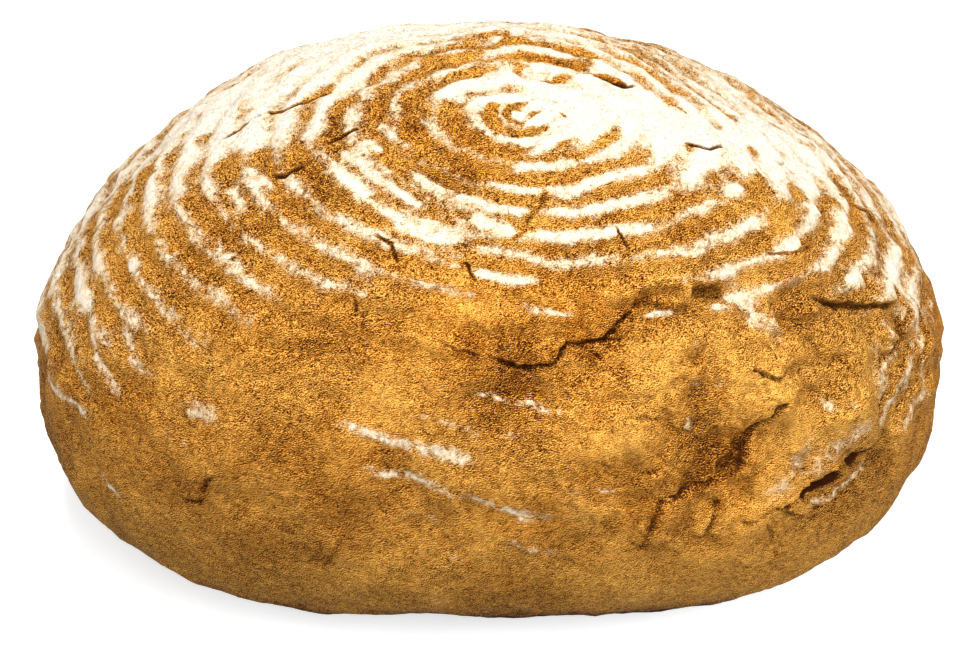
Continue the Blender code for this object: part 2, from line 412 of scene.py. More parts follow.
CRACKS = cracks(
    # The crown, round the end of the coil
    (((24.5, 57.4), (23, 59.2), (19.4, 60), (15, 59.2), (13.4, 57.8), (10.4, 56.7), (7, 57.8),
      (6.3, 60.2), (9, 62.5), (14, 63.9), (20, 64.3), (24, 63.4), (26.7, 61.7)), 0.6, 0.6, 0, 3, 0.22),
    (((7.6, 53.8), (12.3, 54.2), (17.2, 56), (21, 57.1), (24, 57)), 0.6, 0.5, 0, 3, 0.15),
    (((23.5, 55.2), (19, 54), (15.3, 52.9), (12, 51.2), (9.4, 49.8)), 0.6, 0.5, 0, 3, 0.15),
    (((33.5, 57.6), (39, 57.2), (43, 56.5), (41, 54)), 0.6, 0.6, 0, 3, 0.4),
    (((56, 66.5), (62, 62), (63, 60.3), (67, 59.3)), 1, 1.4, 0.3),
    (((66, 53), (65.3, 49.6)), 0.6, 0.5, 0, 3, 0.4), (((86, 42), (86.3, 40)), 1.4, 0.6, 0, 3, 0.4),
    # Flour fields left and right
    (((-72, 38), (-71, 43), (-70, 47), (-65.7, 50), (-65.3, 57.5)), 0.7, 1, 0.4, 4),
    (((-46, 38), (-42, 39), (-41, 42)), 0.8, 1.2, 0.7, 4),
    (((-41, 47), (-39, 50), (-37, 52)), 0.8, 1.1, 0.4),
    (((51, 45), (54.8, 42.2), (61.7, 41.4)), 0.9, 1.2, 0.5, 4),
    (((69, 35.3), (73, 33), (70.7, 30.7)), 0.7, 0.8, 0.4, 3, 0.4), (((59, 36), (58.6, 34.2)), 0.7, 0.7),
    (((75.7, 25), (77, 22), (81, 17.7)), 1, 1.5, 0.6, 4),
    (((43, 25), (46.4, 24.3), (50, 23.9), (53.6, 23.2)), 0.7, 0.9, 0.5, 4, 0.4),
    # Across the rings in front
    (((-20, 24), (-19, 24), (-18, 22)), 0.8, 1.2, 0.4), (((-19, 33), (-16, 32), (-14, 29)), 0.7, 0.8, 0.3),
    (((-4, 30), (-3, 29), (-2, 27)), 0.7, 0.7, 0.2),
    (((11.5, 42), (10, 39), (8, 37), (4, 33)), 0.9, 0.7, 0.2, 3, 0.45),
    (((22, 34), (22, 32), (23, 30)), 0.7, 0.7),
    # The long ledge and the pockets on it
    (((-5.9, 19.3), (-4.3, 18.8), (-2.6, 18.3), (-0.8, 17.7)), 0.7, 0.9, 0.8, 5, 0.4),
    (((0, 17.5), (4, 16.5), (8, 16.8), (10, 19), (15, 19), (18, 21), (21, 23), (23, 24)),
     0.8, 1.8, 1.6, 8, 0.58),
    (((14.5, 19), (17.5, 18.8), (20.5, 18.9)), 0.8, 1.1, 0.9, 5, 0.45),
    (((13.1, 18.1), (13.9, 17.2), (14.7, 16.1)), 0.7, 1, 0.4, 3, 0.62),
    (((21.2, 22.4), (22.6, 23.6), (24.5, 23.5), (26.6, 22.9)), 3.6, 3.2, 1, 5, 0.34),
    (((20.6, 21.8), (22.1, 23.4), (23.4, 24.6), (25.1, 25), (27.5, 24.6)), 0.6, 0.8, 0, 3, 0.4),
    (((28.3, 23.4), (30.1, 22.9), (31.8, 22.5), (33.6, 22.3)), 2.6, 2.9, 1.3, 5, 0.36),
    (((33.1, 17.5), (33.2, 19), (32.5, 20.9), (30.1, 21.5), (27.3, 22)), 0.5, 0.3, 0.8, 4, 0.2),
    # The hollow left of the burst, with the plate under it lifted
    (((20.5, 9.5), (18.9, 9.9), (17.5, 10.4), (15.8, 10.6), (14.2, 10.1), (13.1, 8.9)),
     0.7, 0.8, 1.5, 7, 0.45),
    (((14.3, 11.2), (16, 12), (17.5, 11.8), (19.4, 11.2)), 3.2, 1.6, 0, 3, 0.15),
    # The right-hand side, over the burst
    (((46.5, 18.5), (49, 17), (51, 16), (53.5, 15.2), (56.1, 14.2), (60, 13), (63.6, 11.9)),
     1.3, 2.4, 1.6, 7, 0.58),
    (((39.2, 17.6), (42.7, 16.4), (45.6, 15.4)), 3, 1.8, 0.6, 4, 0.2),
    (((50, 15), (53, 12), (56, 10), (59, 8)), 0.7, 0.7, 0.5, 4, 0.3),
    (((30.6, 13.2), (31.4, 13.6), (32.4, 12.9), (33.5, 12.1), (35.2, 11.6), (36.1, 12.1)),
     0.9, 1.5, 1.1, 5, 0.58),
    (((37.1, 12.6), (38.7, 12.2)), 0.9, 1.2, 0.7, 3, 0.58),
    (((61.8, 11.2), (61.2, 9.4), (61.2, 7.4)), 2.6, 1.9, 0.9, 4, 0.4),
    (((69.5, 10.4), (66.3, 6.4), (61.8, 4.7)), 0.9, 1.1, 0.9, 5, 0.4),
    # The groove down to the plate by the burst, and the plate's edges
    (((34.8, 9.8), (33.4, 9.1), (31.6, 7.8), (29.8, 6.1)), 1, 1.6, 1.3, 6, 0.6),
    (((30, 6.4), (28.2, 4.8), (26.9, 3.4), (26, 2.2)), 2.3, 2.8, 1.4, 5, 0.4),
    (((30.2, 6.2), (29.2, 5.2), (28, 3.8), (26.6, 2.3)), 0.7, 0.6, 0, 3, 0.62),
    (((23, 1.7), (24.6, 1.9), (26.3, 2.2)), 1.2, 2.2, 1.7, 6),
    (((23.2, 1.5), (21.6, 1.4), (19.8, 1.5), (18.7, 1.2), (18.1, -0.4), (17.4, -2.8), (16.6, -5.2)),
     0.7, 1, 1.8, 8, 0.6),
    (((25.5, 0), (25.1, -1.5), (24.3, -2.9), (23.6, -3.9)), 0.8, 1.1, 1.1, 5, 0.58),
    (((27.8, -2.7), (29.3, -2.5), (30.5, -2), (32, -1.7), (32.8, -2.3)), 0.8, 1.3, 1.2, 5, 0.58),
    (((30.6, -3.2), (31.7, -4.7), (32.9, -6.9), (34, -9.4)), 0.7, 0.7, 0.6, 4, 0.4),
    # Low on the left
    (((-35.3, -2.3), (-34.1, -2.1), (-33.1, -1.6), (-32.7, -0.7), (-32.2, 0.6), (-31.6, 1.3),
      (-30.6, 1.9)), 0.7, 1.1, 0.9, 4, 0.58),
    (((-19, -7.7), (-18.1, -6.9), (-17.8, -6.3), (-17.1, -5.2), (-16.6, -3.9), (-16.2, -3.2)),
     0.7, 1, 0.8, 4, 0.45),
    (((-24.1, 0.5), (-22.3, 0.9), (-20.6, 1.1)), 0.5, 0.3, 0.6, 3, 0.1),
    (((-102, 20), (-92, 19), (-83, 16)), 0.9, 1.2, 0.4, 4),
    # The burst: two open mouths and the lip under them
    (((32.6, -1.8), (34.4, -1.5), (36.2, -1.2), (37.8, -1)), 1.3, 5, 1.2, 6, 0.9),
    (((35.4, -1.4), (37.6, -1), (39.8, -0.6), (42.5, -0.3)), 2.3, 9, 1.4, 6, 1),
    (((42.9, 0.1), (44.6, 0.5), (47, 0.6), (50.4, 0.7)), 2, 8, 1.4, 6, 1),
    (((32.4, -1.9), (34.4, -3.1), (36.2, -3.9), (39.6, -4), (43.7, -3.5), (47.2, -2.2), (50.2, -1.1)),
     0.8, 1.1, 1.6, 2, 0.55),
    # Folds between the streaks on the right-hand flank
    (((64.7, 14.5), (65.5, 10.6), (59.9, 8.6), (51.3, 8)), 1.2, 1, 1, 3, 0.35),
    (((62, 7.4), (57, 6.6), (51.5, 5.4), (47.8, 4.2)), 1, 0.9, 0.9, 3, 0.3),
    (((63, 4.4), (57, 3.4), (51.5, 2.4)), 1, 0.9, 0.9, 3, 0.3),
    (((32.8, -2.3), (34.5, -3.6), (36.7, -4.9), (38.9, -5.1), (43, -5)), 0.7, 0.7, 1.3, 4, 0.4),
)

FLOUR_PATCHES = patches(
    # The white field on the left shoulder, and the crust that shows in it
    (-90, 47, 24, 1.6), (-112, 56, 30, 1.4), (-140, 64, 30, 1), (-66, 42, 13, 1.3), (-80, 36, 15, 1.2),
    (-52, 47, 11, 1.2), (-92, 32, 14, 1), (-66, 29, 8, 1.1), (-70, 60, 14, 0.9), (-79, 32, 4, -1),
    (-76.7, 37, 3.5, -1.1), (-60, 38, 5, -1.5), (-53.6, 40.5, 6, -1.7), (-45, 43.2, 5.5, -1.5),
    (-79, 42, 4, -0.7), (-100, 46, 5, -1), (-90, 53, 6, -0.9), (-56, 45, 3.5, -0.9),
    # The white field on the right shoulder
    (52, 45, 11, 1.5), (62, 50, 16, 1.3), (66, 41, 15, 1.4), (72, 33, 18, 1), (86, 30, 16, 0.8),
    (80, 38, 16, 1.3), (60, 34, 9, 0.9), (72, 30, 9, 1), (46, 37, 8, 0.9), (58.5, 27, 6, 0.7),
    (100, 38, 26, 1), (66.5, 39, 4.5, -1.8), (52, 35.2, 4.5, -1.7), (47.7, 37.9, 2.5, -1.6),
    (54.3, 32, 4.5, -1.8), (61, 30, 3.5, -1.6), (48.9, 30, 5, -1.5), (72, 22.5, 6, -1.3),
    (50.7, 44.3, 2.4, -1.6), (68, 38.7, 3, -1.3), (70, 45.1, 3.5, -1.4), (81.8, 43.7, 3.5, -1.5),
    (81.2, 37.6, 3, -1.3), (76.8, 34, 3, -1.2), (46.3, 52.5, 3, -1.3), (64.4, 54, 4, -1.5),
    (57.4, 34.5, 2.5, -1.3), (43, 34.3, 2.5, -1.4), (-112.7, 40.9, 4, -1.6), (-107.1, 39.9, 4, -1.3),
    (-121.1, 39.5, 5, -1.5), (-89.7, 36.8, 3, -1.5), (-85.1, 34.5, 3, -1.3), (-97.9, 53.2, 3.5, -1.3),
    (-65.7, 57.6, 3, -1.4), (-52, 57.7, 4, -1.2), (-56.6, 51.2, 2.5, -1.2),
    # The crown
    (34, 58, 9, 1.8), (47, 55, 10, 1.8), (27, 65, 7, 1.6), (-20, 66, 3.5, 1.4), (-13, 64.4, 3.5, 1.4),
    (-5, 64, 3.5, 1.3), (60, 68, 12, 1), (13, 73, 6, 1.5), (-3, 72, 6, 1.5), (-14, 70, 5, 1.2),
    (10.7, 58.5, 1.9, 2), (18.8, 58, 2.2, 2), (10, 61.8, 2, -1.6), (2, 83, 5, 1.2), (140, 78, 20, 0.9),
    (-34, 62, 12, -0.6), (-22, 54, 12, -0.6), (-6, 54, 8, -0.9), (-2, 46, 8, -1), (8, 46, 6, -0.8),
    # Haze on the sides and at the foot
    (-48, 24, 20, -0.25), (-62, 11, 12, 0.4), (58, 5, 12, 0.35), (-78, 8, 18, 0.7), (-92, 14, 16, 0.5),
    (-57.2, 19.2, 3, 1.8), (-66, 14, 8, 0.6), (70, 12, 12, 0.6), (50, 5, 8, 1.2), (38, 15, 4, 1.2),
    (-7, -12.5, 8, 1.3), (-18, -12.5, 7, 1.1), (4, -12.5, 7, 1), (178, 35, 50, 0.4),
    # A wash of thin flour about the crown and on the shoulders
    (12, 60, 20, 0.8), (16, 57.5, 9, 1), (26.8, 52.2, 6, 1.1), (25.8, 56.5, 5, 0.8), (14, 52.5, 4, 0.6),
    (48.8, 60.4, 8, 0.6), (35, 60, 18, 0.5), (60, 62, 28, 0.6), (40, 46, 16, 0.4), (52, 34, 14, 0.7),
    (-30, 60, 20, 0.3), (-50, 40, 14, 0.4), (-100, 24, 24, 0.8), (-112, 8, 24, 0.7), (-75, 22, 12, 0.5),
    (95, 20, 26, 0.7),
    # Thin haze on the right-hand flank
    (66, 9, 20, 1.35), (58, 18, 12, 0.6), (36.5, 19.8, 9, 1.7), (50, 8, 12, 0.8), (38, 3, 9, 0.8),
    (28, 9.5, 8, 0.8), (24, 6, 6, 0.9),
    # Single flecks
    (25.7, 17.1, 1.7, 2.6), (24.8, 12.8, 1.8, 2.6), (27.5, 12.4, 1.2, 2.2), (40.8, 7.3, 2.2, 2.4),
    (43, 7, 1.6, 2.3), (53.4, 9.8, 3, 1.3), (56.1, 4.7, 3.5, 1.2), (56.9, 2.1, 3, 1.1), (33, 1, 1.7, 2.3),
    (30.4, 0.6, 1.5, 2.3), (35.7, 2, 1.8, 2.3), (40.2, 3.1, 2, 2.2), (10.9, 9.4, 1.3, 2.3),
    (23.1, 8.8, 2.4, 2), (5.4, 12.3, 1.3, 2.2), (31.2, 20.9, 2, 2.2), (-37.3, 4.9, 1.8, 2.2),
    (-35.1, 4.4, 1.8, 2.2), (-8.5, -0.3, 2, 2.3), (-6.4, -0.8, 2, 2.3), (-22.5, 17, 1.5, 1.8),
)

FLOUR_STROKES = strokes(
    # Left of the end of the coil
    (((-34, 50.5), (-29.6, 48.6), (-26, 47.7)), 1.5, 0.9),
    (((-31.6, 53.8), (-27, 51.7), (-22.7, 50.2)), 1.3, 0.85),
    (((-22, 57.6), (-17, 54.7), (-12, 52)), 1.3, 0.8), (((-35.3, 46), (-31, 45), (-25.5, 43.5)), 1.4),
    (((-28.3, 44), (-23.4, 42.5), (-19.3, 41), (-15, 39.4), (-12, 38.2)), 1.5),
    (((-35.5, 43), (-30, 41.4), (-25, 39.7), (-23, 38)), 2.3),
    (((-21.6, 37.8), (-17, 36.2), (-13.6, 34.4), (-10, 33.3), (-4, 33.6)), 1.6),
    (((-17, 44.2), (-13.6, 43.2), (-8, 41.2)), 1.3), (((-9, 36.9), (-4.3, 36.7), (-1.3, 36.4)), 1, 0.8),
    (((-27.6, 34.7), (-24, 33.8), (-19.7, 33)), 1.4, 0.8),
    (((-34, 33), (-30.6, 31.7), (-27, 30.6)), 1.3, 0.75),
    # The rings in front
    (((-7.8, 41.2), (-2, 40.2), (1, 38.7), (5.7, 37.8), (8, 37.7)), 1.8),
    (((-1, 44.3), (3.3, 42.6), (8.4, 42), (11.4, 41.8)), 1.3),
    (((12.5, 41.3), (16.7, 40.8), (22, 42.3), (29.5, 42.8), (38, 42.4)), 1.9),
    (((9.6, 38), (15.3, 37.1), (21.5, 37.5), (28, 37.6), (34, 38.4)), 1.9),
    (((5, 33.2), (8.8, 34), (12.2, 33.2), (17.6, 33.3), (23, 33.2), (29.4, 32.6)), 1.9),
    (((-3, 37.9), (-0.5, 36.1), (2.4, 35), (4.5, 34.3)), 2.1),
    (((-3.6, 32), (1, 31.7), (6.5, 30.3), (10, 29.2), (14.6, 29.4), (21, 29.2)), 1.9, 0.7),
    (((-2.4, 28.6), (0.8, 27.7), (4, 27), (7, 27.2)), 1.5),
    (((-10.4, 30), (-7.7, 29.9), (-3.7, 29)), 0.9, 0.7),
    (((-13, 26.6), (-9.4, 26.5), (-4.7, 25.9), (-1.6, 24.8)), 1.4, 0.62),
    (((4.3, 24), (7, 23), (11.4, 22.5)), 1.2, 0.72), (((5.6, 46.9), (12, 46.5), (16, 45.9)), 1.7),
    (((21, 46.5), (27, 46.5), (32.4, 46)), 1.3, 0.9), (((10, 49.5), (16, 51), (23, 52.3)), 2),
    (((-20, 27.3), (-19.6, 27)), 1.2, 1.1),
    # Stripes on the left
    (((-63.5, 29.5), (-57, 28.3), (-48, 27), (-42, 25.7), (-36, 23.7), (-30, 21.8)), 0.82, 0.8),
    (((-54, 38), (-51.4, 34), (-44.6, 31.5)), 1.15, 0.8),
    (((-54.6, 38), (-48, 37.2), (-43.2, 36.3)), 1.23, 0.85),
    (((-63.5, 26.2), (-55.4, 24.2), (-48, 22.4), (-42, 21), (-36, 19.7)), 0.82, 0.7),
    (((-57, 19.2), (-52, 18.5), (-46.7, 17.3), (-41, 15.7), (-36, 14.3)), 0.90, 0.7),
    (((-69.3, 17.9), (-62, 16.8), (-56.4, 15.2), (-51, 13.6), (-46, 10.9), (-40.7, 9.5)), 1.15, 0.72),
    (((-79, 13.2), (-70, 13.9), (-64, 13.1), (-57, 11.7), (-52, 8.9), (-46, 6.5)), 1.23, 0.85),
    (((-73, 10.6), (-68.3, 9.6), (-64, 8.5), (-58, 7), (-52, 5)), 0.98, 0.8),
    (((-68.6, 2.6), (-61, 2.9), (-56, 3), (-50.7, 2.8)), 1.23, 0.8),
    # Low on the front
    (((-17.3, 9.9), (-14.6, 9.2), (-12.3, 8.6), (-10, 7.9), (-8.2, 7.6)), 1.2, 0.85),
    (((-8.2, 7.8), (-6.5, 7.3), (-4.3, 6.8), (-2.2, 6.4)), 1.9, 0.8), (((-4, 6.7), (-1.7, 5.6)), 1.2, 0.85),
    (((-14, 5.2), (-11, 4.5), (-7.7, 4), (-6, 3.2), (-3.6, 2.4)), 1.1, 0.8),
    (((-3.6, 2.4), (-1, 1.7), (2, 0.9), (5.6, -0.3), (7.4, -0.2)), 1, 0.82),
    (((-2, 13.6), (0, 13), (3.7, 12.4), (7, 11.5), (8.7, 11.6)), 0.8, 0.75),
    (((-11, 11.7), (-7, 10.9), (-5, 10.3), (-3, 9.9), (0, 9.3), (2, 8.7), (4.5, 9.3)), 0.8, 0.66),
    (((8, 3.1), (11, 3), (14, 2.7)), 0.7, 0.7), (((-5.3, -3.8), (-4.9, -5), (-3.4, -5.7)), 0.6, 0.8),
    (((2, -2.5), (3.4, -3.8), (4.7, -4.3), (8, -4.8)), 0.8, 0.7),
    (((-36, 8.4), (-34, 8.4), (-31.5, 8.1)), 2.5, 0.66),
    (((-49, -2.4), (-48, -3.2), (-47, -4.1), (-44.4, -4.6)), 0.9, 0.85),
    (((21.6, 21.2), (23.4, 21.4), (25.4, 21.2)), 1, 0.9),
    # The right-hand side
    (((55.6, 8.5), (57, 10.5), (58.5, 12)), 1.3, 0.6),
    (((79, 27.5), (73, 24.3), (63.6, 23.3), (57, 22.4)), 1.4, 0.9),
    (((71, 20), (67.5, 18.5), (64.8, 17)), 1.6, 0.8), (((70, 13.5), (66, 10), (64, 6), (62, 2)), 1.2, 0.66),
    (((64, 13), (61, 9), (58, 5), (55, 3)), 1.3, 0.6), (((78, 12), (74, 6), (72, 0)), 1, 0.75),
    (((59.9, 8.6), (54.2, 7.8), (50.4, 6.7), (48.1, 5.7)), 1.6, 0.6),
    (((61.8, 6.3), (54.9, 5.2), (50.5, 3.8), (47.4, 2.6)), 1.6, 0.62),
    (((61.8, 2.3), (56.2, 1.7), (51.6, 1.1)), 1.6, 0.6),
    (((36.2, -3), (39.6, -3.1), (43.7, -2.6), (47.2, -1.3)), 0.8, 0.62),
    (((36, 0.5), (41, 3), (46, 5)), 2.2, 0.56), (((31, -0.5), (34, 1.5), (38, 4.5)), 1.8, 0.55),
)

# Lines where crust shows through heavy flour: the amount is how much flour is missing
BARE_STROKES = strokes(
    (((24, 57.6), (19, 60.2), (14, 59), (10.4, 56.8), (7, 58), (7, 61), (10, 62.5), (20, 64), (26, 62)),
     0.8, 1.9),
    (((7.6, 54), (12.3, 54.4), (17, 56), (24, 57.2)), 1.2, 1.6),
    (((1.6, 62.7), (0.5, 59.5), (2.5, 57)), 1.3, 1.5),
    (((36, 55.4), (28.4, 53), (23.3, 51.6), (19, 50.8)), 1, 1.6),
    (((40, 54), (35, 50.5), (28, 49)), 1.3, 1.2),
    (((29, 68.6), (36, 67), (38, 63.6), (41, 62), (45, 61.7), (45.4, 59.7)), 1, 1.6),
    (((23, 75.9), (20, 71.6), (31, 70), (38.6, 69.2), (45, 69.8), (58, 67.4), (62, 63)), 1, 1.6),
    (((-50, 75.4), (-31.5, 79.8), (-22, 83.9), (-4, 86), (45, 86.4), (106, 84.6)), 1.8, 1.6),
    (((106, 84.6), (94, 81.7), (91, 78), (88, 74.5), (79.5, 70.7)), 1.8, 1.5),
    (((-20, 72), (-4.5, 77.3), (16, 78.8), (34, 78.2), (47, 76), (58, 73.2), (68, 70.5)), 2.2, 1.8),
    (((-95, 85), (175, 87), (156, 82)), 1.6, 1.2),
)

# Patches of browning. The dark ones in pockets, in hollows and under ledges are painted shade, and the pale
# ones on the plates that bulge over the cracks are painted light.
TOAST_AND_SHADE_PATCHES = patches(
    (20, 57, 26, 0.1), (60, 50, 30, 0.12), (120, 70, 40, 0.12), (-100, 50, 36, 0.12), (64, 8, 22, 0.1),
    (-20, 0, 26, -0.05), (16.5, 11.8, 4.5, -0.22), (28, 4.4, 3.4, -0.12), (42.5, 16.8, 4.5, -0.2),
    (61.3, 9.2, 3.4, -0.25), (9.5, 21.2, 7, 0.04), (-22, 10, 16, -0.12), (-46, 24, 22, -0.1),
    (40, -3.4, 3, 0.2), (46, -2.6, 3, 0.2), (31, 16.5, 4, -0.14), (33, 14, 3, -0.12), (24, 5, 6, -0.12),
    (36, 12.6, 3, -0.1), (20, 4, 6, -0.1), (57, 12, 5, 0.14), (-1.2, 23.4, 8, 0.16), (-5.5, 22, 8, 0.12),
    (16.1, 15.5, 5, 0.1), (12.1, 13.6, 5, 0.1), (51.3, 13.4, 5, 0.2), (23, -3, 8, 0.12),
    (33.8, 6.3, 6, 0.12), (29, 19, 6, 0.14), (-14.8, 13.7, 9, 0.14), (-7.3, 17.2, 7, 0.14),
    (-26.7, 1.9, 1.8, 0.35), (-22.8, 17.5, 3, -0.2), (-11.5, 6.8, 2.6, -0.2), (-24, 6, 5, -0.12),
    (-19, 2.9, 3.5, -0.14), (-27, -4.8, 9, -0.06), (-4, 18.5, 7, -0.16), (3, 15, 8, -0.2),
    (-18, 18, 10, -0.12), (13, 12.5, 8, -0.12), (22, 15, 8, 0.06), (36, 28, 9, -0.14),
    (33, 26.4, 3.5, -0.16), (43.3, 27.5, 3, -0.2), (49, 24, 8, -0.12), (56, 18, 7, -0.14),
    (70, 20, 6, -0.12), (72, 14, 5, -0.2), (25, 23.2, 3.6, -0.12), (32, 23, 4, -0.12), (20, 9.2, 5, -0.14),
    (-25, 58, 14, -0.14), (-5, 56, 5, -0.22), (56, 73.2, 3, -0.25), (-6, 23.5, 9, 0.12), (3, 23, 9, 0.14),
    (11, 21, 9, 0.13), (4, 30, 6, 0.08), (-36, 20, 9, 0.1), (24, -7, 13, 0.12), (17, 8, 9, 0.1),
    (36, 6, 8, 0.08), (4, -9, 10, 0.04), (-20, 5, 14, -0.05), (13.2, -1.7, 2.5, -0.22),
    (17.8, 5.2, 2, -0.16),
)

# Where the skin was drawn smooth as the loaf rose, so its grain is weaker, or stronger below 0
SMOOTH_PATCHES = patches(
    (-2, 23, 12, 0.3), (10, 21, 10, 0.25), (24, -7, 13, 0.2), (4, -10, 13, 0.35), (56, -10, 24, 0.2),
    (-44, -12, 16, 0.1), (60, 62, 24, 0.3), (180, 75, 30, 0.3), (50, 8, 34, -0.5),
)

def follow_path(form: Form, points: np.ndarray, path: Path) -> tuple[np.ndarray, ...]:
    """Finds where points lie beside a path.

    Args:
        form: the smooth form that the path lies on.
        points: places measured from the heart.
        path: headings along the path.

    Returns:
        The distance from the path, the share of the path passed, and the side: 1 for its left.
    """
    knots = form.knots(path)
    lengths = np.linalg.norm(np.diff(knots, axis=0), axis=1)
    distance = np.full(len(points), np.inf)
    passed = np.zeros(len(points))
    side = np.zeros(len(points))
    done = 0.0
    for start, end, length in zip(knots[:-1], knots[1:], lengths):
        along = (end - start) / length
        offset = points - start
        run = np.clip(offset @ along, 0.0, length)
        away = np.linalg.norm(offset - run[:, None] * along, axis=-1)
        nearer = away < distance
        distance = np.where(nearer, away, distance)
        passed = np.where(nearer, (done + run) / lengths.sum(), passed)
        side = np.where(nearer, np.sign((np.cross(along, offset) * points).sum(axis=-1)), side)
        done += length
    return distance, passed, side


def near_path(form: Form, points: np.ndarray, path: Path, reach: float) -> np.ndarray:
    """Picks the points that may lie within reach of a path.

    Args:
        form: the smooth form that the path lies on.
        points: places measured from the heart.
        path: headings along the path.
        reach: the distance in metres.

    Returns:
        The numbers of the points in the array.
    """
    knots = form.knots(path)
    middle = (knots.min(axis=0) + knots.max(axis=0)) / 2.0
    ball = np.linalg.norm(knots - middle, axis=1).max() + reach
    return np.flatnonzero(((points - middle) ** 2).sum(axis=-1) < ball * ball)


def narrowed(passed: np.ndarray, closing: float, left: float = 0.0) -> np.ndarray:
    """Narrows a crack or a stroke towards its ends.

    Args:
        passed: the share of the path passed at each point.
        closing: how fast the ends close.
        left: how much is left at the very end.

    Returns:
        1 along the middle of the path, and less towards its ends.
    """
    return np.sqrt(np.clip(np.minimum(passed, 1.0 - passed) * closing + left, 0.0, 1.0))


class Layer(Enum):
    """The fields that the crust's mesh carries for its material."""

    FLOUR = "flour"
    TOAST_AND_SHADE = "toast_and_shade"
    CRACK = "crack"
    GRAIN = "grain"


@dataclass(frozen=True)
class BakedCrust:
    """Baked dough under baker's flour, browned unevenly, so gold and brown lie in soft clouds.

    The dough's skin dried to fine grit before it set. That gives the eye a sandy grain of pale
    specks and dark pits, with painted light on the upper side of each grain and painted shade below
    it. Flour stays where the basket's cane held it and has no gloss.
    """

    name: str = "baked wheat crust with rye flour"
    # From the darkest pit to the palest speck, each with its place in the tones
    tones: tuple[tuple[float, str], ...] = (
        (0.0, "#2C1204"),
        (0.25, "#6E3608"),
        (0.5, "#B0600A"),
        (0.75, "#DA8A1C"),
        (1.0, "#EEB658"),
    )
    flour: str = "#F1E4D0"
    thin_flour: str = "#DEBC8C"
    # Painted shade: the colour of the cracks and of the painted contact shadow along the foot
    painted_shade_colour: str = "#3C1C07"
    roughness: float = 0.72
    flour_roughness: float = 0.95
    specular: float = 0.03
    # Dried dough skin is grit of 0.4 mm, flatter than it is long. Its flakes are crumbs of 1.9 mm,
    # and it wrinkles finely every 3 mm or so
    grit: float = 0.36 * MM
    grit_flatness: tuple[float, float, float] = (1.0, 0.55, 1.6)
    crumb: float = 1.9 * MM
    crumb_flatness: tuple[float, float, float] = (1.0, 0.65, 1.3)
    wrinkle: float = 3.2 * MM
    wrinkle_width: float = 0.022
    # Painted light on the upper side of each grain and painted shade below it: the step from a grain's foot
    # to its top
    grain_shade_step: tuple[float, float, float] = (-0.06 * MM, 0.0, 0.22 * MM)
    grit_height: float = 0.6 * MM
    crumb_height: float = 1.4 * MM
    wrinkle_height: float = 0.25 * MM


def add(
    tree: bpy.types.NodeTree, kind: str, settings: dict[str, str] | None = None, **links: object
) -> bpy.types.Node:
    """Adds one node with its settings and its links.

    Args:
        tree: the node tree.
        kind: the node's type after "ShaderNode", such as "Math".
        settings: attributes of the node.
        links: nodes, sockets or values, by the input's name with _ for a space, or in0, in1 and so
            on. A node gives its first output.

    Returns:
        The new node.
    """
    node = tree.nodes.new("ShaderNode" + kind)
    for name, value in (settings or {}).items():
        setattr(node, name, value)
    for name, value in links.items():
        key = int(name[2:]) if name[:2] == "in" and name[2:].isdigit() else name.replace("_", " ")
        if isinstance(value, bpy.types.Node):
            value = value.outputs[0]
        if isinstance(value, bpy.types.NodeSocket):
            tree.links.new(value, node.inputs[key])
        else:
            node.inputs[key].default_value = value
    return node


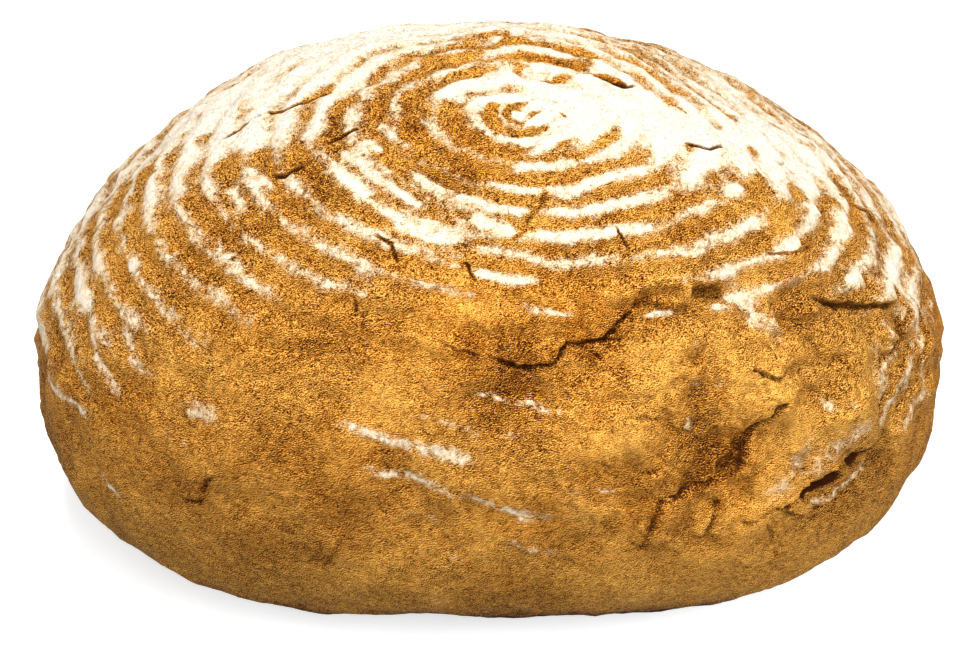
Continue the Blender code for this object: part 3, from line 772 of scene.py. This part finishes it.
@dataclass(frozen=True)
class CrustFinish:
    """Builds the crust's material from a finish and the mesh's layers."""

    finish: BakedCrust
    # How far the grain and the painted light and shade on each grain shift the tone, how far painted shade
    # darkens the wrinkles, and how far the grain makes flour ragged and makes cracks ragged
    grit_in_tone: float = 1.0
    grain_shade_in_tone: float = 4.8
    crumb_in_tone: float = 1.5
    wrinkle_shade_in_tone: float = 0.3
    grit_in_flour: float = 2.6
    crumb_in_flour: float = 3.2
    grain_in_crack: float = 0.6
    # The flour values over which dust veils the crust, flour hides it, and flour turns white
    veil: tuple[float, float] = (-0.75, 0.1)
    veil_strength: float = 0.5
    cover: tuple[float, float] = (-0.05, 0.22)
    whitening: tuple[float, float] = (-0.1, 1.3)
    # The crack values over which the crust turns to painted shade
    split: tuple[float, float] = (0.26, 0.62)

    def grit_and_grain_shade(
        self, tree: bpy.types.NodeTree, place: bpy.types.NodeSocket
    ) -> tuple[bpy.types.Node, bpy.types.Node]:
        """Adds the sandy grain, and painted light and shade on each grain: light on its upper side, shade
        below.

        Args:
            tree: the material's node tree.
            place: the socket with the place on the loaf.

        Returns:
            The nodes of the grit and of its painted light and shade, both about zero.
        """
        grains = {"Scale": 1.0 / self.finish.grit, "Detail": 2.0, "Roughness": 0.7, "Distortion": 0.4}
        flat = add(tree, "VectorMath", {"operation": "MULTIPLY"}, in0=place, in1=self.finish.grit_flatness)
        grit = add(tree, "TexNoise", Vector=flat, **grains)
        # Painted light and shade: the grain here less the grain a step up, as if lit from above
        above = add(tree, "VectorMath", {"operation": "ADD"}, in0=flat, in1=self.finish.grain_shade_step)
        above = add(tree, "TexNoise", Vector=above, **grains)
        grain_shade = add(tree, "Math", {"operation": "SUBTRACT"}, in0=grit, in1=above)
        return add(tree, "Math", {"operation": "SUBTRACT"}, in0=grit, in1=0.5), grain_shade

    def crumb_and_fold(
        self, tree: bpy.types.NodeTree, place: bpy.types.NodeSocket
    ) -> tuple[bpy.types.Node, bpy.types.Node]:
        """Adds the flakes of the skin and its fine wrinkles.

        Args:
            tree: the material's node tree.
            place: the socket with the place on the loaf.

        Returns:
            The nodes of the crumb, about zero, and of the wrinkles, from -1 in a line to 0 beside it.
        """
        finish = self.finish
        flakes = {"Scale": 1.0 / finish.crumb, "Detail": 4.0, "Roughness": 0.65, "Distortion": 0.6}
        drawn = add(tree, "VectorMath", {"operation": "MULTIPLY"}, in0=place, in1=finish.crumb_flatness)
        crumb = add(tree, "TexNoise", Vector=drawn, **flakes)
        crumb = add(tree, "Math", {"operation": "SUBTRACT"}, in0=crumb, in1=0.5)
        fold = add(tree, "TexNoise", Vector=place, Scale=1.0 / finish.wrinkle, Detail=3.0, Distortion=1.2)
        fold = add(tree, "Math", {"operation": "SUBTRACT"}, in0=fold, in1=0.5)
        fold = add(tree, "Math", {"operation": "ABSOLUTE"}, in0=fold)
        fold = add(tree, "MapRange", Value=fold, From_Max=finish.wrinkle_width, To_Min=-1.0, To_Max=0.0)
        return crumb, fold

    def crust_colour(
        self,
        tree: bpy.types.NodeTree,
        layers: dict[Layer, bpy.types.NodeSocket],
        parts: dict[str, bpy.types.Node],
    ) -> bpy.types.Node:
        """Adds the crust's colour: its toasting and its grain, with painted light and shade on each grain
        and painted shade in the wrinkles.

        Args:
            tree: the material's node tree.
            layers: the sockets of the mesh's layers.
            parts: the nodes of the grit, the painted light and shade of the grain, the crumb and the fold.

        Returns:
            The node that gives the colour.
        """
        tone = layers[Layer.TOAST_AND_SHADE]
        # The grain, and the painted light and shade on each grain, shift the tone
        grain_and_shade_parts = {"grit": self.grit_in_tone, "crumb": self.crumb_in_tone, "grain_shade": self.grain_shade_in_tone}
        for part, amount in grain_and_shade_parts.items():
            amount = add(tree, "Math", {"operation": "MULTIPLY"}, in0=layers[Layer.GRAIN], in1=amount)
            tone = add(tree, "Math", {"operation": "MULTIPLY_ADD"}, in0=parts[part], in1=amount, in2=tone)
        # Painted shade in the wrinkles
        fold_shade = add(tree, "Math", {"operation": "MULTIPLY"}, in0=parts["fold"], in1=self.wrinkle_shade_in_tone)
        crust = add(tree, "ValToRGB", Fac=add(tree, "Math", {"operation": "ADD"}, in0=fold_shade, in1=tone))
        ramp = crust.color_ramp.elements
        for _ in self.finish.tones[2:]:
            ramp.new(0.5)
        for stop, (position, code) in zip(ramp, self.finish.tones):
            stop.position = position
            stop.color = linear(code)
        return crust

    def build(self) -> bpy.types.Material:
        """Links the whole material.

        Returns:
            The finished material.
        """
        finish = self.finish
        material = bpy.data.materials.new(finish.name)
        material.use_nodes = True
        tree = material.node_tree
        layers = {
            layer: add(tree, "Attribute", {"attribute_name": layer.value}).outputs["Fac"] for layer in Layer
        }
        place = add(tree, "TexCoord").outputs["Object"]
        grit, grain_shade = self.grit_and_grain_shade(tree, place)
        crumb, fold = self.crumb_and_fold(tree, place)
        crust = self.crust_colour(tree, layers, {"grit": grit, "grain_shade": grain_shade, "crumb": crumb, "fold": fold})

        spread = {"operation": "MULTIPLY_ADD"}
        fade = {"interpolation_type": "SMOOTHSTEP"}
        blend = {"data_type": "RGBA"}
        flour = add(tree, "Math", spread, in0=grit, in1=self.grit_in_flour, in2=layers[Layer.FLOUR])
        flour = add(tree, "Math", spread, in0=crumb, in1=self.crumb_in_flour, in2=flour)
        split = add(tree, "Math", spread, in0=crumb, in1=self.grain_in_crack, in2=layers[Layer.CRACK])
        veil, cover, whiteness, split = (
            add(tree, "MapRange", fade, Value=value, From_Min=low, From_Max=high, To_Max=most)
            for value, (low, high), most in (
                (flour, self.veil, self.veil_strength),
                (flour, self.cover, 1.0),
                (flour, self.whitening, 1.0),
                (split, self.split, 1.0),
            )
        )
        thin = linear(finish.thin_flour)
        white = add(tree, "Mix", blend, in0=whiteness, in6=thin, in7=linear(finish.flour)).outputs[2]
        colour = add(tree, "Mix", blend, in0=veil, in6=crust, in7=thin).outputs[2]
        colour = add(tree, "Mix", blend, in0=cover, in6=colour, in7=white).outputs[2]
        # Painted shade in the cracks and the painted contact shadow along the foot
        colour = add(tree, "Mix", blend, in0=split, in6=colour, in7=linear(finish.painted_shade_colour)).outputs[2]

        bumps = add(tree, "Bump", Distance=finish.grit_height, Height=grit)
        bumps = add(tree, "Bump", Distance=finish.crumb_height, Height=crumb, Normal=bumps)
        bumps = add(tree, "Bump", Distance=finish.wrinkle_height, Height=fold, Normal=bumps)
        rough = add(tree, "MapRange", Value=cover, To_Min=finish.roughness, To_Max=finish.flour_roughness)
        shader = tree.nodes["Principled BSDF"]
        tree.links.new(colour, shader.inputs["Base Color"])
        tree.links.new(rough.outputs[0], shader.inputs["Roughness"])
        tree.links.new(bumps.outputs[0], shader.inputs["Normal"])
        shader.inputs["Specular IOR Level"].default_value = finish.specular
        return material


@dataclass(frozen=True)
class FlourLook:
    """How flour lies on the crust: 0 is where it begins to cover."""

    bare: float = -2.2
    ring_base: float = -0.62
    ring_contrast: float = 0.85
    ring_sharpness: float = 1.7
    wobble: float = 0.12
    wobble_cell: float = 5.0 * MM
    # Unevenness: spacing and amount
    unevenness: tuple[tuple[float, float], ...] = ((16.0 * MM, 0.35), (6.0 * MM, 0.5), (2.6 * MM, 0.5))
    stroke_spread: float = 2.0
    stroke_contrast: float = 1.6
    # How fast a stroke fades towards its ends, and how much of it is left there
    stroke_taper: float = 5.0
    stroke_end: float = 0.25
    bare_hardness: float = 1.5
    lost_in_cracks: float = 4.0
    # At the back the flour lies more evenly
    back_from: float = 75.0
    back_span: float = 40.0
    back_evenness: float = 0.55
    back_flour: float = 0.35


@dataclass(frozen=True)
class ToastAndShadeLook:
    """How brown the crust is: clouds of several sizes about a middle tone, with painted light and shade on
    its relief and painted contact shadow along its foot.
    """

    middle: float = 0.5
    # Painted light on ridges, lumps and plates that stand proud, and painted shade in the hollows beside
    # them
    ridge_light_groove_shade: float = 0.05
    lump_light_dip_shade: float = 0.09
    # For each metre that a plate stands proud: painted light, or painted shade where it sinks
    plate_light_dip_shade: float = 110.0
    # Darker towards the bottom
    low_darkening: float = 0.04
    low_span: float = 22.0
    # Spacing and amount
    clouds: tuple[tuple[float, float], ...] = (
        (30.0 * MM, 0.08),
        (13.0 * MM, 0.15),
        (6.0 * MM, 0.15),
        (3.0 * MM, 0.1),
    )
    # The sole browned where it touched the oven floor, and painted contact shadow darkens the foot further,
    # to a dark line along the bottom edge
    sole_latitude: float = -17.0
    sole_span: float = 3.0
    sole_browning_and_shadow: float = 0.6
    contact_shadow_latitude: float = -18.6
    contact_shadow_span: float = 2.0


@dataclass(frozen=True)
class Loaf:
    """The crust of the loaf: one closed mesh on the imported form, with the relief of baking."""

    form: Form = Form()
    coil: Coil = Coil()
    finish: BakedCrust = BakedCrust()
    flour_look: FlourLook = FlourLook()
    toast_and_shade_look: ToastAndShadeLook = ToastAndShadeLook()
    grid_turns: int = 1200
    grid_rings: int = 760
    triangles: int = 190000
    swell_height: float = 0.5 * MM
    swell_waves: int = 14
    swell_seed: int = 7
    swell_lengths: tuple[float, float] = (28.0, 70.0)
    # Uneven skin: spacing and height of lumps
    crumble: tuple[tuple[float, float], ...] = (
        (15.0 * MM, 0.75 * MM),
        (7.0 * MM, 0.55 * MM),
        (3.4 * MM, 0.36 * MM),
        (1.8 * MM, 0.16 * MM),
    )
    # Plates of skin: spacing, slope and width of the seams
    plates: tuple[tuple[float, float, float], ...] = (
        (19.0 * MM, 0.16, 2.0 * MM),
        (8.0 * MM, 0.15, 0.55 * MM),
    )
    plates_lowest: float = -13.0
    plates_span: float = 12.0
    # The skin buckled more about the burst
    buckled_place: Place = (34.0, 9.0)
    buckled_reach: float = 48.0 * MM
    buckling: float = 2.2
    buckling_elsewhere: float = 0.35
    crack_jitter: float = 0.6 * MM
    jitter_cell: float = 3.5 * MM
    fine_jitter: float = 0.5
    fine_jitter_cell: float = 1.4 * MM
    crack_closing: float = 5.0
    # A lifted edge is followed out to this many times its reach
    rise_cut: float = 4.0
    # The painted shade of a crack: the width of its edge, how broken it is along the crack, and how far it
    # darkens the tone
    split_width: float = 1.1
    split_edge: float = 0.9 * MM
    split_edge_share: float = 0.6
    split_unevenness: float = 0.16
    split_cell: float = 4.0 * MM
    split_shading: float = 0.8
    most_split_shading: float = 0.5
    # How fast its ends close: over this part of its length, or over its width where it is wide
    split_closing: float = 8.0
    wide_split_closing: float = 0.8
    # The mesh keeps all its points this far beside a crack
    fine_reach: float = 2.4 * MM
    grain_unevenness: float = 0.25
    grain_cell: float = 12.0 * MM
    low_grain: float = 0.6
    low_grain_span: float = 30.0 * MM
    grain_range: tuple[float, float] = (0.3, 2.0)
    sole_snap: float = 0.02 * MM

    def ways(self) -> np.ndarray:
        """Gives unit vectors on rings round the coil's centre, with the two poles as single points."""
        centre, right, back = self.coil.axes()
        slant = np.linspace(0.0, math.pi, self.grid_rings + 1)[1:-1, None, None]
        turn = np.linspace(0.0, 2.0 * math.pi, self.grid_turns, endpoint=False)[None, :, None]
        rings = np.cos(slant) * centre + np.sin(slant) * (np.cos(turn) * right + np.sin(turn) * back)
        return np.concatenate([centre[None], rings.reshape(-1, 3), -centre[None]])

    def triangles_of_grid(self) -> np.ndarray:
        """Gives the grid's triangles as rows of three vertex numbers, facing out."""
        turns = self.grid_turns
        first = 1 + turns * np.arange(self.grid_rings - 2)[:, None]
        here = np.arange(turns)[None, :]
        after = (here + 1) % turns
        lower, upper = first + turns + here, first + here
        halves = [
            np.stack([upper, lower, first + turns + after], axis=-1),
            np.stack([upper, first + turns + after, first + after], axis=-1),
        ]
        last = 1 + turns * (self.grid_rings - 2)
        ring, beside = np.arange(turns), (np.arange(turns) + 1) % turns
        top = np.stack([np.zeros(turns, int), 1 + ring, 1 + beside], axis=-1)
        bottom = np.stack([np.full(turns, last + turns), last + beside, last + ring], axis=-1)
        return np.concatenate([half.reshape(-1, 3) for half in halves] + [top, bottom])

    def swells(self, points: np.ndarray) -> np.ndarray:
        """Makes the long shallow waves of hand-shaped dough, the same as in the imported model.

        Args:
            points: places measured from the heart.

        Returns:
            A height in metres for each point.
        """
        dice = np.random.default_rng(self.swell_seed)
        total = np.zeros(len(points))
        for _ in range(self.swell_waves):
            across = dice.normal(size=3)
            across /= np.linalg.norm(across)
            wave_length = dice.uniform(*self.swell_lengths) * MM
            phase = dice.uniform(0.0, 2.0 * math.pi)
            total += np.sin(points @ across * (2.0 * math.pi / wave_length) + phase)
        return self.swell_height * total / math.sqrt(self.swell_waves / 2.0)

    def jittered(self, points: np.ndarray) -> np.ndarray:
        """Moves points about a little, so that lines measured from them come out ragged.

        Args:
            points: places measured from the heart.

        Returns:
            The places moved.
        """
        shifts = [
            lumps(points, self.jitter_cell, Seed.JITTER + axis)
            + self.fine_jitter * lumps(points, self.fine_jitter_cell, Seed.FINE_JITTER + axis)
            for axis in range(3)
        ]
        return points + self.crack_jitter * np.stack(shifts, axis=-1)

    def beside(
        self, points: np.ndarray, ragged: np.ndarray, path: Path, reach: float
    ) -> tuple[np.ndarray, ...]:
        """Finds the points beside a path and where they lie along it.

        Args:
            points: places measured from the heart.
            ragged: the same places moved about, from which the path is measured.
            path: headings along the path.
            reach: the distance in metres.

        Returns:
            The numbers of the points, then their distance, share passed and side.
        """
        near = near_path(self.form, points, path, reach + 2.0 * self.crack_jitter)
        return near, *follow_path(self.form, ragged[near], path)

    def crack_relief(self, points: np.ndarray, ragged: np.ndarray) -> np.ndarray:
        """Makes the grooves along the cracks, with their left-hand edges lifted.

        Args:
            points: places measured from the heart.
            ragged: the same places moved about, from which the cracks are measured.

        Returns:
            A height in metres for each point, below zero in a crack.
        """
        total = np.zeros(len(points))
        for crack in CRACKS:
            lifted_reach = self.rise_cut * crack.rise_reach if crack.rise else 0.0
            reach = max(crack.half_width, lifted_reach)
            near, distance, passed, side = self.beside(points, ragged, crack.path, reach)
            taper = narrowed(passed, self.crack_closing)
            within = smooth_step(distance / crack.half_width)
            change = -crack.depth * taper * (1.0 - within)
            lifted = crack.rise * taper * np.exp(-distance / crack.rise_reach) * within
            total[near] += change + np.where(side > 0.0, lifted, 0.0)
        return total

    def plate_relief(self, ways: np.ndarray, points: np.ndarray, ragged: np.ndarray) -> np.ndarray:
        """Makes the buckled plates of skin, which are strongest about the burst.

        Args:
            ways: unit vectors from the heart.
            points: where they meet the smooth form.
            ragged: the same places moved about, on which the plates are laid out.

        Returns:
            A height in metres for each point, about zero.
        """
        away = self.form.away(points, self.buckled_place)
        buckled = self.buckling_elsewhere + self.buckling * np.exp(-((away / self.buckled_reach) ** 2))
        buckled *= smooth_step((latitude_of(ways) - self.plates_lowest) / self.plates_span)
        return buckled * sum(
            plate_heights(ragged, cell, tilt, seam, Seed.PLATES + 10 * level)
            for level, (cell, tilt, seam) in enumerate(self.plates)
        )

    def crust_points(self, ways: np.ndarray) -> np.ndarray:
        """Makes the crust's points with all relief, cut flat at the sole.

        Args:
            ways: unit vectors from the heart.

        Returns:
            The points in the row's frame.
        """
        points = self.form.points(ways)
        relief = self.coil.relief(self.form, ways) + self.swells(points)
        for swelling in SWELLINGS:
            away = self.form.away(points, swelling.place)
            relief += swelling.height * np.exp(-((away / swelling.radius) ** 2))
        for level, (cell, height) in enumerate(self.crumble):
            relief += height * lumps(points, cell, Seed.CRUMBLE + level)
        ragged = self.jittered(points)
        relief += self.plate_relief(ways, points, ragged) + self.crack_relief(points, ragged)
        reach = np.linalg.norm(points, axis=-1) + relief
        to_sole = self.form.waist_height / np.maximum(-ways[:, 2], 1e-9)
        reach = np.where(ways[:, 2] < 0.0, np.minimum(reach, to_sole), reach)
        return reach[:, None] * ways + self.form.heart

    def away_from_cracks(self, ways: np.ndarray) -> np.ndarray:
        """Picks the vertices that lie beside no crack.

        Args:
            ways: unit vectors from the heart to the vertices.

        Returns:
            The numbers of the vertices.
        """
        points = self.form.points(ways)
        away = np.ones(len(points), bool)
        for crack in CRACKS:
            near = near_path(self.form, points, crack.path, self.fine_reach + crack.half_width)
            distance, _, _ = follow_path(self.form, points[near], crack.path)
            away[near[distance < self.fine_reach + 0.5 * crack.half_width]] = False
        return np.flatnonzero(away)

    def thin(self, crust: bpy.types.Object, away: np.ndarray) -> None:
        """Keeps the triangles beside cracks and where the crust bends most, and snaps the sole flat.

        Args:
            crust: the piece.
            away: the numbers of the vertices that may go.
        """
        group = crust.vertex_groups.new(name="away from cracks")
        group.add(away.tolist(), 1.0, "REPLACE")
        modifier = crust.modifiers.new("keep the bends", "DECIMATE")
        modifier.ratio = self.triangles / len(crust.data.polygons)
        modifier.vertex_group = group.name
        modifier.vertex_group_factor = 1.0
        graph = bpy.context.evaluated_depsgraph_get()
        mesh = bpy.data.meshes.new_from_object(crust.evaluated_get(graph))
        crust.modifiers.clear()
        crust.vertex_groups.clear()
        fine = crust.data
        crust.data = mesh
        bpy.data.meshes.remove(fine)
        places = np.empty(len(mesh.vertices) * 3)
        mesh.vertices.foreach_get("co", places)
        places = places.reshape(-1, 3)
        places[places[:, 2] < self.sole_snap, 2] = 0.0
        mesh.vertices.foreach_set("co", places.ravel())
        mesh.update()

    def patched(self, points: np.ndarray, patches: tuple[Patch, ...]) -> np.ndarray:
        """Adds up what a set of patches gives at each point.

        Args:
            points: places measured from the heart.
            patches: the patches.

        Returns:
            The sum for each point.
        """
        total = np.zeros(len(points))
        for patch in patches:
            away = self.form.away(points, patch.place)
            total += patch.amount * np.exp(-((away / patch.radius) ** 2))
        return total

    def split_field(self, points: np.ndarray, ragged: np.ndarray) -> np.ndarray:
        """Measures how far each point lies into a crack, which sets how much painted shade it gets.

        Args:
            points: places measured from the heart.
            ragged: the same places moved about, from which the cracks are measured.

        Returns:
            A value for each point, from 0 outside to about 1 in the darkest crack.
        """
        total = np.zeros(len(points))
        for crack in CRACKS:
            width = self.split_width * crack.half_width
            near, distance, passed, _ = self.beside(points, ragged, crack.path, width)
            length = np.linalg.norm(np.diff(self.form.knots(crack.path), axis=0), axis=1).sum()
            closing = min(self.split_closing, self.wide_split_closing * length / crack.half_width)
            edge = min(self.split_edge_share * width, self.split_edge)
            inside = crack.dark * narrowed(passed, closing) * ((width - distance) / edge).clip(0.0, 1.0)
            total[near] = np.maximum(total[near], inside)
        broken = self.split_unevenness * lumps(points, self.split_cell, Seed.SPLIT)
        return total * (1.0 - self.split_unevenness + broken)

    def flour_field(self, ways: np.ndarray, points: np.ndarray, ragged: np.ndarray) -> np.ndarray:
        """Works out how much flour lies on the crust.

        Args:
            ways: unit vectors from the heart.
            points: where they meet the smooth form.
            ragged: the same places moved about, from which the strokes are measured.

        Returns:
            The flour at each heading. Over 0 it covers the crust.
        """
        look = self.flour_look
        count = self.coil.count(self.form, ways)
        count += look.wobble * lumps(points, look.wobble_cell, Seed.WOBBLE)
        ridge = 2.0 * (0.5 + 0.5 * np.cos(2.0 * math.pi * count)) ** look.ring_sharpness - 1.0
        zone = self.coil.flour_zone(ways)
        total = look.bare + (look.ring_base - look.bare) * zone
        back = smooth_step((np.abs(longitude_of(ways)) - look.back_from) / look.back_span) * zone
        total += look.ring_contrast * (1.0 - look.back_evenness * back) * ridge * zone
        total += look.back_flour * back
        total += self.patched(points, FLOUR_PATCHES)
        for level, (cell, amount) in enumerate(look.unevenness):
            total += amount * lumps(points, cell, Seed.FLOUR + level)
        for stroke in FLOUR_STROKES:
            width = look.stroke_spread * stroke.half_width
            near, distance, passed, _ = self.beside(points, ragged, stroke.path, width)
            taper = narrowed(passed, look.stroke_taper, look.stroke_end)
            here = look.stroke_contrast * (2.0 * stroke.amount * taper * (1.0 - distance / width) - 1.0)
            total[near] = np.maximum(total[near], here)
        for stroke in BARE_STROKES:
            width = look.stroke_spread * stroke.half_width
            near, distance, _, _ = self.beside(points, ragged, stroke.path, width)
            total[near] -= stroke.amount * smooth_step(look.bare_hardness * (1.0 - distance / width))
        return total

    def toast_and_shade_field(self, ways: np.ndarray, points: np.ndarray) -> np.ndarray:
        """Works out how brown the crust is, with painted light and shade on its relief and at its foot.

        Args:
            ways: unit vectors from the heart.
            points: where they meet the smooth form.

        Returns:
            The tone at each heading, from 0 for darkest to 1 for pale, painted shade included.
        """
        look = self.toast_and_shade_look
        latitude = latitude_of(ways)
        # Darker towards the bottom
        total = look.middle - look.low_darkening * smooth_step(-latitude / look.low_span)
        # The sole's browning, with painted contact shadow at the foot
        sole = smooth_step((look.sole_latitude - latitude) / look.sole_span + 0.5)
        total = total - look.sole_browning_and_shadow * sole + self.patched(points, TOAST_AND_SHADE_PATCHES)
        for level, (cell, amount) in enumerate(look.clouds):
            total += amount * lumps(points, cell, Seed.CLOUDS + level)
        # Painted light on what stands proud and painted shade in the hollows beside it
        ridge = np.cos(2.0 * math.pi * self.coil.count(self.form, ways))
        total += look.ridge_light_groove_shade * ridge * self.coil.flour_zone(ways)
        for level, (cell, _) in enumerate(self.crumble):
            total += look.lump_light_dip_shade * lumps(points, cell, Seed.CRUMBLE + level) / (1.0 + level)
        return total

    def grain_field(self, points: np.ndarray) -> np.ndarray:
        """Works out how strong the sandy grain is.

        Args:
            points: places measured from the heart.

        Returns:
            A strength for each point, about 1 on rough skin.
        """
        low = smooth_step(-points[:, 2] / self.low_grain_span)
        uneven = self.grain_unevenness * lumps(points, self.grain_cell, Seed.GRAIN)
        total = 1.0 + uneven + self.low_grain * low
        return np.clip(total - self.patched(points, SMOOTH_PATCHES), *self.grain_range)

    def layers(self, ways: np.ndarray) -> dict[Layer, np.ndarray]:
        """Works out the fields that the material reads.

        Args:
            ways: unit vectors from the heart to the mesh's vertices.

        Returns:
            One value for each vertex and layer.
        """
        points = self.form.points(ways)
        ragged = self.jittered(points)
        look = self.toast_and_shade_look
        # Painted contact shadow: a dark line along the bottom edge, shaded like a crack
        contact_shadow = smooth_step((look.contact_shadow_latitude - latitude_of(ways)) / look.contact_shadow_span)
        split = np.maximum(self.split_field(points, ragged), contact_shadow)
        # Painted shade darkens the tone in the cracks and in the painted contact shadow
        split_shade = self.split_shading * np.minimum(split, self.most_split_shading)
        plates = self.plate_relief(ways, points, ragged)
        flour = self.flour_field(ways, points, ragged) - self.flour_look.lost_in_cracks * split
        return {
            Layer.FLOUR: flour,
            # Toast less the painted shade, with painted light on proud plates and painted shade where they
            # sink
            Layer.TOAST_AND_SHADE: self.toast_and_shade_field(ways, points) - split_shade + look.plate_light_dip_shade * plates,
            Layer.CRACK: split,
            Layer.GRAIN: self.grain_field(points),
        }

    def build(self) -> bpy.types.Object:
        """Makes the crust, gives it its layers and its finish, and puts it in the frame.

        Returns:
            The finished piece.
        """
        ways = self.ways()
        faces = self.triangles_of_grid()
        mesh = bpy.data.meshes.new("crust")
        mesh.vertices.add(len(ways))
        mesh.vertices.foreach_set("co", self.crust_points(ways).ravel())
        mesh.loops.add(faces.size)
        mesh.loops.foreach_set("vertex_index", faces.ravel())
        mesh.polygons.add(len(faces))
        mesh.polygons.foreach_set("loop_start", np.arange(0, faces.size, 3))
        mesh.update(calc_edges=True)
        crust = bpy.data.objects.new("baked_crust", mesh)
        bpy.context.scene.collection.objects.link(crust)
        self.thin(crust, self.away_from_cracks(ways))
        mesh = crust.data
        places = np.empty(len(mesh.vertices) * 3)
        mesh.vertices.foreach_get("co", places)
        spokes = places.reshape(-1, 3) - self.form.heart
        for layer, values in self.layers(spokes / np.linalg.norm(spokes, axis=1)[:, None]).items():
            mesh.attributes.new(layer.value, "FLOAT", "POINT").data.foreach_set("value", values)
        mesh.shade_smooth()
        mesh.materials.append(CrustFinish(self.finish).build())
        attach(crust, "root")
        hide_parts("loaf")
        log.info("crust: %d triangles", len(mesh.polygons))
        return crust


@dataclass(frozen=True)
class Softbox:
    """A square soft light that faces the loaf, with its side in metres and its power in watts."""

    name: str
    place: tuple[float, float, float]
    size: float
    power: float


@dataclass(frozen=True)
class Studio:
    """A plain pale floor, soft light from above and the camera at the photograph's angle."""

    elevation: float = 23.0
    distance: float = 0.70
    aim: tuple[float, float, float] = (0.0, -0.0008, 0.0464)
    lens: float = 90.5
    floor_size: float = 6.0
    floor_colour: str = "#E2E2E2"
    # The floor glows like a light table, which keeps it white right up to the loaf
    floor_glow: float = 0.58
    floor_roughness: float = 0.9
    # The floor lies a hair below the sole, so that the two don't fight for the same plane
    floor_height: float = -0.2 * MM
    surround: float = 0.4
    lit_point: tuple[float, float, float] = (0.0, 0.0, 0.06)
    softboxes: tuple[Softbox, ...] = (
        Softbox("overhead", (-0.1, -0.25, 1.05), 0.25, 11.3),
        Softbox("front", (0.3, -1.15, 0.62), 0.5, 12.2),
        Softbox("low", (0.0, -1.1, 0.12), 0.5, 2.4),
        Softbox("left", (-1.1, -0.4, 0.4), 0.5, 4.0),
        Softbox("right", (1.1, -0.5, 0.4), 0.5, 9.0),
    )
    sensor_width: float = 36.0
    clip_start: float = 0.01

    def build_floor(self) -> None:
        """Lays the pale floor that the loaf stands on."""
        half = self.floor_size / 2.0
        mesh = bpy.data.meshes.new("floor")
        corners = [(-half, -half, 0.0), (half, -half, 0.0), (half, half, 0.0), (-half, half, 0.0)]
        mesh.from_pydata(corners, [], [(0, 1, 2, 3)])
        floor = bpy.data.objects.new("floor", mesh)
        bpy.context.scene.collection.objects.link(floor)
        floor.location.z = self.floor_height
        # Matt paint is chalk in a little binder: it scatters light evenly and gives no gloss
        paint = bpy.data.materials.new("matt white studio paint")
        paint.use_nodes = True
        shader = paint.node_tree.nodes["Principled BSDF"]
        shader.inputs["Base Color"].default_value = linear(self.floor_colour)
        shader.inputs["Roughness"].default_value = self.floor_roughness
        shader.inputs["Emission Color"].default_value = linear("#FFFFFF")
        shader.inputs["Emission Strength"].default_value = self.floor_glow
        mesh.materials.append(paint)
        # The glow is for the camera alone: the loaf is lit by the softboxes and the surround
        floor.visible_diffuse = False

    def hang(self, softbox: Softbox) -> None:
        """Hangs one soft light.

        Args:
            softbox: the light.
        """
        lamp = bpy.data.lights.new(softbox.name, "AREA")
        lamp.shape = "SQUARE"
        lamp.size = softbox.size
        lamp.energy = softbox.power
        hung = bpy.data.objects.new(softbox.name, lamp)
        bpy.context.scene.collection.objects.link(hung)
        hung.location = softbox.place
        aim = Vector(self.lit_point) - Vector(softbox.place)
        hung.rotation_euler = aim.to_track_quat("-Z", "Y").to_euler()

    def build_lights(self) -> None:
        """Sets the soft lights and the even white surround."""
        world = bpy.data.worlds.new("studio")
        bpy.context.scene.world = world
        world.use_nodes = True
        surround = world.node_tree.nodes["Background"]
        surround.inputs["Color"].default_value = (1.0, 1.0, 1.0, 1.0)
        surround.inputs["Strength"].default_value = self.surround
        for softbox in self.softboxes:
            self.hang(softbox)

    def build_camera(self) -> None:
        """Places the camera at the photograph's angle."""
        tilt = math.radians(self.elevation)
        forward = Vector((0.0, math.cos(tilt), -math.sin(tilt)))
        lens = bpy.data.cameras.new("camera")
        lens.lens = self.lens
        lens.sensor_width = self.sensor_width
        lens.clip_start = self.clip_start
        camera = bpy.data.objects.new("camera", lens)
        bpy.context.scene.collection.objects.link(camera)
        camera.location = Vector(self.aim) - self.distance * forward
        camera.rotation_euler = forward.to_track_quat("-Z", "Y").to_euler()
        bpy.context.scene.camera = camera

    def build(self) -> None:
        """Sets up the floor, the lights, the camera and plain colour reproduction."""
        self.build_floor()
        self.build_lights()
        self.build_camera()
        bpy.context.scene.view_settings.view_transform = "Standard"
        log.info("studio: floor, lights and camera")


def main() -> None:
    """Builds the studio and the loaf."""
    logging.basicConfig(level=logging.INFO, format="%(name)s: %(message)s")
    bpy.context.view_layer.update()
    Studio().build()
    Loaf().build()


if __name__ == "__main__":
    main()
